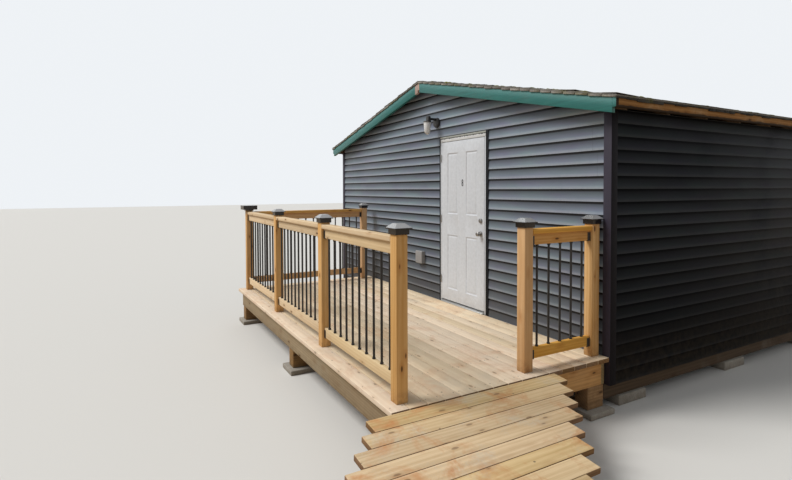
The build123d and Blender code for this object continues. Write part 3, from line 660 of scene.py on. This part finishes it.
shaded_roof_board = painted("Roof board in painted shade", (0.17, 0.125, 0.085), (0.09, 0.065, 0.045), rough=0.8, wear=0.6, scale=14.0)
box_plastic = painted("Grey box plastic", (0.3, 0.3, 0.31), (0.42, 0.42, 0.42), rough=0.35)
black_coat = painted("Black powder coat", (0.014, 0.013, 0.013), (0.045, 0.042, 0.04), rough=0.4, scale=8.0)
cap_coat = painted("Glossy black caps", (0.016, 0.014, 0.014), (0.06, 0.056, 0.056), rough=0.13, scale=6.0)
cap_tops_sky_reflection = metal("Cap tops with painted sky reflection", (0.46, 0.46, 0.46), 0.22, metallic=0.75)
cap_tops_dimmer_reflection = metal("Cap tops with dimmer painted reflection", (0.34, 0.34, 0.35), 0.4, metallic=0.35)
numeral_finish = painted("Black numeral", (0.012, 0.012, 0.012), (0.04, 0.04, 0.04), rough=0.35)
bulb_glass = painted("Pearl bulb", (0.8, 0.8, 0.78), (0.7, 0.7, 0.68), rough=0.2, wear=0.05)
satin_steel = metal("Satin steel", (0.5, 0.49, 0.47), 0.34)
lock_steel = metal("Dark satin steel", (0.33, 0.32, 0.31), 0.32)
dull_aluminium = metal("Dull aluminium", (0.52, 0.52, 0.51), 0.45)
screw_steel = metal("Dark screw heads", (0.1, 0.09, 0.08), 0.5)
concrete = mineral("Weathered concrete", (0.46, 0.44, 0.4), (0.3, 0.28, 0.25), 380.0, splash=0.12)
shingle = mineral("Grey mineral shingle", (0.33, 0.32, 0.3), (0.12, 0.115, 0.105), 420.0, moss=0.3, toned=True)
rake_shingle = mineral("Mossy rake shingle", (0.46, 0.45, 0.43), (0.2, 0.19, 0.18), 420.0, moss=0.42, toned=True)
eave_shingle_and_shade = mineral("Eave shingle with painted shade", (0.075, 0.07, 0.062), (0.02, 0.018, 0.016), 420.0, moss=0.18,
                       toned=True)
moss_finish = mineral("Roof moss", (0.3, 0.28, 0.06), (0.07, 0.075, 0.018), 150.0, moss=0.9)
lantern_glass = shade_glass("Frosted lantern glass")

# -------- boards and blocks


def boards_of(node, name, finishes, slot, edge=sawn_edge):
    """The CAD node's boards, each with softened edges, a tone of its own and its grain along its length."""
    parts = loose_parts(merged_copy(node, name))
    for part in parts:
        low, high = extent(part)
        size = high - low
        longest = max(range(3), key=lambda axis: size[axis])
        give_tone(part)
        part.data.materials.append(finishes["XYZ"[longest]])
    return hand_over(soften(joined(name, parts), edge), None, slot, node)


# Skids and floor joists under the walls, in painted shade.
boards_of("floor_skids", "skids", shaded_ground_timber, "treated_post", edge=0.006)
boards_of("floor_frame", "floor_joists", shaded_ground_timber, "framing")
boards_of("ridge_board", "ridge_beam", ridge_timber, "framing", edge=0.002)
# Rafters in painted shade, as under the eaves.
boards_of("roof_rafters", "rafters", shaded_rafter_timber, "framing", edge=0.002)
eave_fascia = boards_of("eave_boards", "eave_fascia", eave_timber, "raw_timber")
refinish(eave_fascia, teal_paint, lambda face: abs(face.normal.y) > 0.7)
boards_of("deck_frame", "deck_joists", rim_timber, "deck_timber")
boards_of("deck_legs", "deck_leg_blocks", under_timber, "treated_post", edge=0.008)
boards_of("railing_posts", "posts", post_timber, "treated_post", edge=0.004)
boards_of("ramp_stringers", "stringers", rim_timber, "deck_timber")
boards_of("ramp_trestles", "trestles", under_timber, "treated_post", edge=0.005)
decking = boards_of("deck_boards", "decking", deck_timber, "deck_timber", edge=0.0035)
# The decking's ends towards the ramp, in painted shade.
refinish(decking, gap_shade_timber["X"], lambda face: face.normal.x > 0.8)

# Ramp boards: no two quite square to the next, and none past the outline
most_sway, most_slide = math.radians(0.12), 0.004
ramp_parts = loose_parts(merged_copy("ramp_boards", "ramp_board"))
for part in ramp_parts:
    centre = middle(part)
    sway = turn_by(between(-most_sway, most_sway), 4, "Z")
    slide = move_by((0, between(-most_slide, most_slide), 0))
    part.data.transform(slide @ move_by(centre) @ sway @ move_by(-centre))
    low, high = extent(part)
    part.data.transform(move_by((min(0, cad_high.x - high.x), max(0, cad_low.y - low.y), 0)))
    give_tone(part)
    part.data.materials.append(ramp_timber["Y"])
ramp_planks = soften(joined("ramp_planks", ramp_parts), 0.0045)
hand_over(ramp_planks, None, "deck_timber", "ramp_boards")
# The ramp boards' sides in painted shade, as in the gaps between them.
refinish(ramp_planks, gap_shade_timber["Y"], lambda face: abs(face.normal.z) < 0.5)

# Concrete blocks and pads with worn arrises
soft_copy("foundation_blocks", "blocks", concrete, "concrete", edge=0.007)

# Countersunk screw heads with a small recess, two where a board crosses a joist
screw_radius, screw_height, screw_inset = 0.0045, 0.0006, 0.022
board_width, board_pitch, board_count, joist_count = 0.14, 0.144, 15, 12
screw_head = round_bar("screw_head", screw_radius, screw_height * 2, 8)
with open_mesh(screw_head, pick="DESELECT"):
    pass
pick_faces(screw_head, lambda face: face.normal.z > 0.9)
with open_mesh(screw_head, pick=None):
    bpy.ops.mesh.inset(thickness=screw_radius * 0.45, depth=-screw_height * 1.2)
joist_low, joist_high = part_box("deck_frame")
joist_step = (joist_high.x - joist_low.x - plank) / (joist_count - 1)
screw_places = [
    (joist_low.x + plank / 2 + joist * joist_step + between(-0.004, 0.004),
     deck_low.y + board * board_pitch + inset + between(-0.003, 0.003), deck_high.z)
    for board in range(board_count)
    for joist in range(joist_count)
    for inset in (screw_inset, board_width - screw_inset)
]
deck_screws = joined("deck_screws", [copied(screw_head, move_by(spot)) for spot in screw_places])
discard(screw_head)
hand_over(deck_screws, screw_steel, "black_metal")

# -------- railings

rail_width, rail_seat, rail_edge = 0.089, 0.0035, 0.004
baluster_radius, baluster_spacing, baluster_end_gap, bar_sides = 0.0095, 0.127, 0.085, 16
collar_radius, collar_height, collar_edge = 0.0135, 0.014, 0.003
bays = {
    "front_right": ("X", rail_timber),
    "front_middle": ("X", rail_timber),
    "front_left": ("X", rail_timber),
    "left_end": ("Y", post_timber),
    "right_end": ("Y", gate_timber),
}

baluster = round_bar("baluster", baluster_radius, 1.0, bar_sides)
collar = soften(round_bar("collar", collar_radius, collar_height, bar_sides), collar_edge)

for bay, (along, rail_finish) in bays.items():
    node = f"railing_{bay}"
    low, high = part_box(node)
    axis = "XY".index(along)
    across = 1 - axis
    centre = (low[across] + high[across]) / 2
    bottom_rail_top = low.z + rail_width
    bar_top = high.z - plank - rail_width
    rails = []
    for rail_low, rail_high, width in ((high.z - plank, high.z, rail_width), (bar_top, high.z - plank, plank),
                                       (low.z, bottom_rail_top, plank)):
        corner_low, corner_high = low.copy(), high.copy()
        corner_low[across], corner_high[across] = centre - width / 2, centre + width / 2
        corner_low.z, corner_high.z = rail_low, rail_high
        rails.append(give_tone(soften(block("rail", corner_low, corner_high), rail_edge)))
    rail_set = joined(f"rails_{bay}", rails)
    hand_over(rail_set, rail_finish[along], "treated_post", node)

    baluster_run = high[axis] - low[axis] + 2 * rail_seat - 2 * baluster_end_gap
    baluster_steps = round(baluster_run / baluster_spacing)
    height = bar_top - bottom_rail_top
    stretch = size_by((1, 1, height, 1))
    bars = []
    for number in range(baluster_steps + 1):
        foot = Vector((0, 0, bottom_rail_top))
        foot[axis] = (low[axis] + high[axis]) / 2 - baluster_run / 2 + number * (baluster_run / baluster_steps)
        foot[across] = centre
        for pattern, rise, shape in ((baluster, height / 2, stretch), (collar, collar_height / 2, Matrix.Identity(4)),
                                     (collar, height - collar_height / 2, Matrix.Identity(4))):
            bars.append(copied(pattern, move_by(foot + Vector((0, 0, rise))) @ shape))
    bar_set = joined(f"balusters_{bay}", bars)
    bpy.ops.object.shade_smooth_by_angle(angle=math.radians(40))
    hand_over(bar_set, black_coat, "black_metal", node)
discard(baluster, collar)

# Post caps: the skirt and brim of the CAD node, and new slopes from the brim's edge up to a small flat top.
# The first hat opens while vertices are still picked, so all of it moves and it stays a plain block.
cap_peak, brim_cut, brim_border, cap_slope = 0.03, 0.001, 0.003, 0.034
cap_parts = loose_parts(merged_copy("post_caps", "caps"))
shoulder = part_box("post_caps")[1].z - cap_peak - brim_cut
hats = []
for part in cap_parts:
    low, high = extent(part)
    with open_mesh(part):
        bpy.ops.mesh.bisect(plane_co=(0, 0, shoulder), plane_no=(0, 0, 1), use_fill=True, clear_outer=True)
    hat = block("hat", (low.x, low.y, shoulder), (high.x, high.y, shoulder + brim_cut))
    pick_faces(hat, lambda face: face.normal.z > 0.9)
    with open_mesh(hat, pick=None):
        bpy.ops.mesh.select_mode(type="FACE")
        bpy.ops.mesh.inset(thickness=brim_border)
        bpy.ops.mesh.inset(thickness=cap_slope, depth=cap_peak - 0.0005)
    hats.append(hat)
caps = soften(joined("caps", cap_parts + hats), width=0.001, angle=15, smooth=12)
hand_over(caps, cap_coat, "black_metal", "post_caps")
# The caps' upper slopes carry a painted sky reflection: brighter on the sides towards the key light, dimmer on those
# away from it.
refinish(caps, cap_tops_sky_reflection, lambda face: face.normal.z > 0.3 and face.normal.x < 0.3)
refinish(caps, cap_tops_dimmer_reflection, lambda face: face.normal.z > 0.3 and face.normal.x >= 0.3)
soft_copy("rail_brackets", "rail_shoes", black_coat, "black_metal", edge=0.0008, segments=1)

# -------- siding and trims

for node, finish in (("front_siding", siding), ("back_siding", siding), ("side_siding", shaded_side_siding)):
    laps = soft_copy(node, node.replace("siding", "laps"), finish, "siding", edge=0.0025, segments=3)
# Of the two side walls, only the right one keeps the siding in painted shade; the left one gets the plain grey siding
refinish(laps, siding, lambda face: face.center.x < ridge_x)
corner_posts = soft_copy("corner_trims", "corner_posts", corner_finish, "corner_trim", edge=0.003)
# The outward sides of the right corner trims are in painted shade.
refinish(corner_posts, corner_painted_shade, lambda face: face.normal.x > 0.7 and face.center.x > ridge_x)
soft_copy("barge_boards", "painted_barges", teal_paint, "fascia", painted_edge)

# A dark channel stands at each side of the doorway, nearly black and wide enough to take in the shadow gap beside the
# door as painted shadow, and a pale strip lies over its head
frame_low, frame_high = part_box("door_frame")
left_channel, right_channel, right_channel_rise = 0.03, 0.05, 0.03
drip_cap_overhang, drip_cap_height = 0.012, 0.022
trim_front, trim_back = front_face - 0.003, front_face + 0.012
channel = [
    block("channel", (frame_low.x - left_channel, trim_front, frame_low.z), (frame_low.x, trim_back, frame_high.z)),
    block("channel", (frame_high.x, trim_front, frame_low.z),
          (frame_high.x + right_channel, trim_back, frame_high.z + right_channel_rise)),
]
drip_cap = block("drip_cap", (frame_low.x - drip_cap_overhang, trim_front, frame_high.z),
                 (frame_high.x, trim_back, frame_high.z + drip_cap_height))
hand_over(soften(joined("door_channel_and_shadow", channel), 0.002), channel_and_shadow_finish, "siding")
hand_over(soften(drip_cap, 0.003), drip_finish, "siding")

for node in ("front_wall_left", "front_wall_right", "front_wall_over_door", "back_wall", "left_wall", "right_wall"):
    dress(node, lining)
dress("floor_deck", board_paint)
# The sheathing, seen from below under the eaves, is in painted shade.
dress("roof_sheathing", shaded_roof_board)

# -------- roof

shingle_low, shingle_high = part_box("roof_shingles")
roof_half = (shingle_high.x - shingle_low.x) / 2
roof_length = shingle_high.y - shingle_low.y
tab_width, tab_gap, tab_thickness, least_tab = 0.305, 0.006, 0.0035, 0.03
course_count, ridge_gap = 22, 0.0005
course_run = (roof_half - ridge_gap) / course_count
shingle_base, shingle_lip = 0.006, 0.006
fold_thickness, fold_reach, fold_edge = 0.01, 0.027, 0.0035
rake_inset, eave_inset, strip_inset, least_strip = 0.0008, 0.0008, 0.001, 0.05


def roof_height(run):
    """Height of the sheathing at a distance from the ridge."""
    return ridge_top - roof_slope * run


under_courses = give_tone(merged_copy("roof_shingles", "shingle_courses"), 0.15)
hand_over(under_courses, shingle, "shingle", "roof_shingles")

tab = soften(block("tab", (0, 0, 0), (1, tab_width - tab_gap, tab_thickness)), 0.001, 1)
rake_fold = soften(block("rake_fold", (0, 0, -fold_reach), (1, fold_thickness, 0.003)), fold_edge)
eave_fold = soften(block("eave_fold", (-fold_thickness, 0, -fold_reach), (0, 1, 0.001)), fold_edge)
rake_folds, eave_folds = [], []
for side, side_name in ((-1, "left"), (1, "right")):
    tabs = []
    for course in range(course_count):
        upper = ridge_gap + course * course_run
        lower = upper + course_run
        start_z = roof_height(upper) + shingle_base
        end_z = roof_height(lower) + shingle_base + shingle_lip
        run = Vector((lower - upper, 0, end_z - start_z))
        tilt = turn_by(-math.atan2(run.z, run.x), 4, "Y")
        stagger = (course % 3) * tab_width / 3
        for number in range(-1, int(roof_length / tab_width) + 1):
            y = shingle_low.y + stagger + number * tab_width
            near, far = max(y, shingle_low.y), min(y + tab_width - tab_gap, shingle_high.y)
            if far - near < least_tab:
                continue
            near += between(0.0, 0.005)
            far -= between(0.0, 0.005)
            length = run.length - between(0.001, 0.007)
            shape = size_by((length, (far - near) / (tab_width - tab_gap), between(0.9, 1.5), 1))
            curl = turn_by(-math.radians(between(0.0, 1.5)), 4, "Y")
            place = move_by((upper, near, start_z))
            # Tabs at the two rakes lift a little at their outer ends
            lifted = Matrix.Identity(4)
            warp = math.radians(between(0.2, 2.2) if course > 1 else 0.0)
            if near < shingle_low.y + 0.02:
                lifted = move_by((0, far - near, 0)) @ turn_by(-warp, 4, "X")
                lifted = lifted @ move_by((0, near - far, 0))
            elif far > shingle_high.y - 0.02:
                lifted = turn_by(warp, 4, "X")
            twin = give_tone(copied(tab, place @ tilt @ lifted @ curl @ shape))
            if side < 0:
                twin.data.transform(size_by((-1, 1, 1, 1)))
            twin.data.transform(move_by((ridge_x, 0, 0)))
            tabs.append(twin)
        for y in (shingle_low.y + rake_inset, shingle_high.y - rake_inset - fold_thickness):
            shape = size_by((run.length - between(0.003, 0.01), 1, between(0.72, 1.12), 1))
            place = move_by((ridge_x + side * upper, y, start_z))
            turn = size_by((side, 1, 1, 1)) @ tilt
            rake_folds.append(give_tone(copied(rake_fold, place @ turn @ shape)))
    eave_x, eave_z = ridge_x + side * (roof_half - eave_inset), roof_height(roof_half) + shingle_base
    strip_start = shingle_low.y + strip_inset
    while strip_start < shingle_high.y - least_strip:
        strip = min(between(0.07, 0.2), shingle_high.y - strip_inset - strip_start)
        shape = size_by((side, strip - 0.002, between(0.55, 1.35), 1))
        place = move_by((eave_x, strip_start, eave_z))
        eave_folds.append(give_tone(copied(eave_fold, place @ shape)))
        strip_start += strip
    tab_set = joined(f"shingle_tabs_{side_name}", tabs)
    if side < 0:
        face_outward(tab_set)
    hand_over(tab_set, shingle, "shingle", "roof_shingles")
discard(tab, rake_fold, eave_fold)

# The shingles' ends, folded down over the rakes and the eaves; those at the eaves nearly black, dark shingle with
# painted shade
for name, pieces, finish in (("rake_folds", rake_folds, rake_shingle), ("eave_folds", eave_folds, eave_shingle_and_shade)):
    fold_set = joined(name, pieces)
    face_outward(fold_set)
    hand_over(fold_set, finish, "shingle")

# Ridge caps lap one over the next from front to back
cap_low, cap_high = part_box("ridge_cap")
cap_count, cap_lean, cap_drop = 30, math.radians(1.6), 0.0055
cap_step = (cap_high.y - cap_low.y) / cap_count
one_cap = merged_copy("ridge_cap", "ridge_fold")
with open_mesh(one_cap):
    bpy.ops.mesh.bisect(plane_co=(0, cap_low.y + cap_step, 0), plane_no=(0, 1, 0), use_fill=True, clear_outer=True)
start = Vector((0, cap_low.y, cap_low.z))
lean = move_by(start) @ turn_by(cap_lean, 4, "X") @ move_by(-start)
folds = []
for number in range(cap_count):
    drop = move_by((between(-0.002, 0.002), number * cap_step, -cap_drop))
    folds.append(give_tone(copied(one_cap, drop @ lean)))
discard(one_cap)
hand_over(soften(joined("ridge_folds", folds), 0.0012, 1), shingle, "shingle", "ridge_cap")

# Moss cushions sit along the rakes, the eaves and the course edges
cushion_count, pattern_count, rake_share, eave_share = 700, 5, 0.34, 0.62
pattern_spacing, flat_level = 3.7, -0.3
lumpiness = bpy.data.textures.new("Moss lumps", "CLOUDS")
lumpiness.noise_scale = 0.8


def moss_cushion(number):
    """One lumpy cushion, flat underneath, its lumps read from a place of its own."""
    away = Vector((number * pattern_spacing, 0, 0))
    bpy.ops.mesh.primitive_ico_sphere_add(subdivisions=2, radius=1, location=away)
    cushion = settle(bpy.context.object)
    lumps = cushion.modifiers.new("lumps", "DISPLACE")
    lumps.texture = lumpiness
    lumps.strength = 0.9
    bpy.ops.object.modifier_apply(modifier=lumps.name)
    with open_mesh(cushion):
        bpy.ops.mesh.bisect(plane_co=(0, 0, flat_level), plane_no=(0, 0, 1), use_fill=True, clear_inner=True)
    cushion.data.transform(move_by(-away))
    return cushion


def along_roof():
    """A place from front to back, clear of the rakes."""
    return between(shingle_low.y + 0.06, shingle_high.y - 0.06)


patterns = [moss_cushion(number) for number in range(pattern_count)]
cushions = []
for number in range(cushion_count):
    side = dice.choice((-1, 1))
    kind = dice.random()
    size = between(0.012, 0.03)
    if kind < rake_share:
        y = dice.choice((shingle_low.y + between(0.03, 0.16), shingle_high.y - between(0.06, 0.16)))
        run = between(0.25, roof_half - 0.08)
    elif kind < eave_share:
        run, y = roof_half - between(0.078, 0.16), along_roof()
    else:
        run, y = dice.randrange(3, course_count) * course_run + between(-0.01, 0.02), along_roof()
        size *= 0.8
    spread = size_by((size * between(0.8, 1.7), size * between(0.8, 1.7), size * 0.55, 1))
    place = move_by((ridge_x + side * run, y, roof_height(run) + shingle_base + shingle_lip * 0.8))
    turn = turn_by(side * math.atan(roof_slope), 4, "Y") @ turn_by(between(0, 6.28), 4, "Z")
    cushions.append(copied(dice.choice(patterns), place @ turn @ spread))
discard(*patterns)
bpy.data.textures.remove(lumpiness)
moss_set = joined("roof_moss", cushions)
bpy.ops.object.shade_smooth()
hand_over(moss_set, moss_finish, "shingle")

# -------- door and its frame

frame_parts = loose_parts(merged_copy("door_frame", "frame_boards"))
head_board_least = 0.5
for part in frame_parts:
    low, high = extent(part)
    part.data.materials.append(head_finish if high.x - low.x > head_board_least else door_paint)
hand_over(soften(joined("frame_boards", frame_parts), painted_edge), None, "door_paint", "door_frame")
soft_copy("door_sill", "sill", dull_aluminium, "sill_metal", painted_edge)

# The slab has four panels, each cut out of its face and moulded inward, step by step, on both sides
slab_low, slab_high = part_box("door_slab")
slab = block("panelled_door", slab_low, slab_high)
slab_middle = (slab_low.x + slab_high.x) / 2
panel_width, panel_spread = 0.226, 0.384
panel_rows = ((1.5, 0.781), (0.498, 0.702))
moulding = ((0.003, 0.001), (0.008, -0.008), (0.012, 0.0), (0.01, 0.0045), (0.018, 0.0012))
panel_boxes = [
    (slab_middle + side * panel_spread / 2 - panel_width / 2, slab_middle + side * panel_spread / 2 + panel_width / 2,
     slab_low.z + row - height / 2, slab_low.z + row + height / 2)
    for side in (-1, 1)
    for row, height in panel_rows
]
with open_mesh(slab):
    for axis, sides in ((Vector((1, 0, 0)), slice(0, 2)), (Vector((0, 0, 1)), slice(2, 4))):
        for cut in sorted({round(edge, 5) for box in panel_boxes for edge in box[sides]}):
            bpy.ops.mesh.select_all(action="SELECT")
            bpy.ops.mesh.bisect(plane_co=axis * cut, plane_no=axis)
    bpy.ops.mesh.select_mode(type="FACE")
    bpy.ops.mesh.select_all(action="DESELECT")


def on_panel(face):
    x, z = face.center.x, face.center.z
    return abs(face.normal.y) > 0.9 and any(box[0] < x < box[1] and box[2] < z < box[3] for box in panel_boxes)


pick_faces(slab, on_panel)
with open_mesh(slab, pick=None):
    for thickness, depth in moulding:
        bpy.ops.mesh.inset(thickness=thickness, depth=depth, use_individual=True)
hand_over(soften(slab, moulded_edge, angle=20), door_paint, "door_paint", "door_slab", body="door")

numeral_height, numeral_narrowing, numeral_from_floor, numeral_from_middle = 0.086, 0.62, 1.547, 0.016
numeral_proud, digit_share = 0.0014, 0.72
bpy.ops.object.text_add()
text = bpy.context.object.data
text.body = "8"
text.size = numeral_height / digit_share
text.extrude = 0.0012
text.align_x = "CENTER"
bpy.ops.object.convert(target="MESH")
numeral = bpy.context.object
numeral.name = "numeral"
numeral.data.transform(turn_by(math.pi / 2, 4, "X") @ size_by((numeral_narrowing, 1, 1, 1)))
numeral.data.transform(move_by((slab_middle + numeral_from_middle, slab_low.y - numeral_proud,
                                floor_top + numeral_from_floor - numeral_height / 2)))
hand_over(numeral, numeral_finish, "black_metal", body="door")

soft_copy("frame_hinges", "fixed_knuckles", satin_steel, "hinge_steel", edge=0.0006, segments=1)
soft_copy("door_hinges", "door_knuckles", satin_steel, "hinge_steel", edge=0.0006, segments=1, body="door")
soft_copy("door_lock", "lock_roses", lock_steel, "lock_metal", moulded_edge, body="door")
soft_copy("door_knob", "round_knob", lock_steel, "lock_metal", edge=0.0008, body="knob")

# -------- lantern and outlet box

soft_copy("lantern_mount", "lantern_bracket", black_coat, "black_metal", moulded_edge)
soft_copy("lantern_shade", "lantern_glass", lantern_glass, "shade_glass", edge=0.001, segments=1, angle=25)
glass_low, glass_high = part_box("lantern_shade")
bulb_x, bulb_y = (glass_low.x + glass_high.x) / 2, (glass_low.y + glass_high.y) / 2
bulb_radius, bulb_drop = 0.026, 0.08
bpy.ops.mesh.primitive_uv_sphere_add(
    segments=20, ring_count=12, radius=bulb_radius, location=(bulb_x, bulb_y, glass_high.z - bulb_drop)
)
bulb = settle(bpy.context.object)
bulb.name = "bulb"
pick_faces(bulb, lambda face: face.normal.z > 0.8)
with open_mesh(bulb, pick=None):
    bpy.ops.mesh.select_mode(type="FACE")
    bpy.ops.mesh.extrude_region_move(TRANSFORM_OT_translate={"value": (0, 0, bulb_drop - bulb_radius - 0.002)})
bpy.ops.object.shade_smooth_by_angle(angle=math.radians(50))
hand_over(bulb, bulb_glass, "shade_glass")

soft_copy("outlet_box", "outlet_case", box_plastic, "box_grey", moulded_edge)

# -------- stage, light and camera

bpy.ops.mesh.primitive_plane_add(size=120)
floor = bpy.context.object
floor.name = "stage_floor"
floor_material, place = new_material("Pale floor")
looked_at = put("LightPath", tree=floor_material.node_tree).outputs["Is Camera Ray"]
surfaced(floor_material, blend(looked_at, (0.4, 0.315, 0.22), (0.68, 0.68, 0.67)), 0.9)
floor.data.materials.append(floor_material)

world = bpy.data.worlds.new("Studio")
bpy.context.scene.world = world
world.use_nodes = True
tree = world.node_tree
tree.nodes.clear()
rays = put("LightPath", tree=tree).outputs
mirrored = calc("MAXIMUM", rays["Is Glossy Ray"], rays["Is Transmission Ray"])
seen = calc("MAXIMUM", rays["Is Camera Ray"], mirrored)
soft_light = put("Background", tree=tree, Color=(0.97, 0.965, 0.95, 1), Strength=0.4)
backdrop = put("Background", tree=tree, Color=(0.86, 0.89, 0.92, 1), Strength=1.0)
mixed = put("MixShader", Fac=seen)
tree.links.new(soft_light.outputs[0], mixed.inputs[1])
tree.links.new(backdrop.outputs[0], mixed.inputs[2])
put("OutputWorld", Surface=mixed.outputs[0])

sun_from = Vector((-0.3, -0.62, 0.82))
sun = bpy.data.lights.new("Soft key", "SUN")
sun.energy = 2.6
sun.angle = math.radians(26)
sun.color = (1.0, 0.97, 0.92)
key = bpy.data.objects.new("Soft key", sun)
key.rotation_euler = sun_from.to_track_quat("Z", "Y").to_euler()
show(key)

# The camera stands where the photograph was taken, measured from the front right corner at deck level
camera_offset = Vector((2.8227, -3.7053, 1.4702))
yaw, pitch, roll = math.radians(60.757), math.radians(-1.489), math.radians(-0.181)
camera_place = Vector((right_face, front_face, floor_top)) + camera_offset
ahead = Vector((-math.sin(yaw) * math.cos(pitch), math.cos(yaw) * math.cos(pitch), math.sin(pitch)))
level = Vector((math.cos(yaw), math.sin(yaw), 0))
upright = level.cross(ahead)
across = math.cos(roll) * level + math.sin(roll) * upright
above = math.cos(roll) * upright - math.sin(roll) * level
lens = bpy.data.cameras.new("Photograph view")
lens.sensor_width = 36.0
lens.lens = 22.544
lens.shift_y = -0.0481
lens.clip_end = 200
camera = bpy.data.objects.new("Photograph view", lens)
camera.matrix_world = move_by(camera_place) @ Matrix((across, above, -ahead)).transposed().to_4x4()
show(camera)
bpy.context.scene.camera = camera
bpy.context.scene.view_settings.view_transform = "Standard"
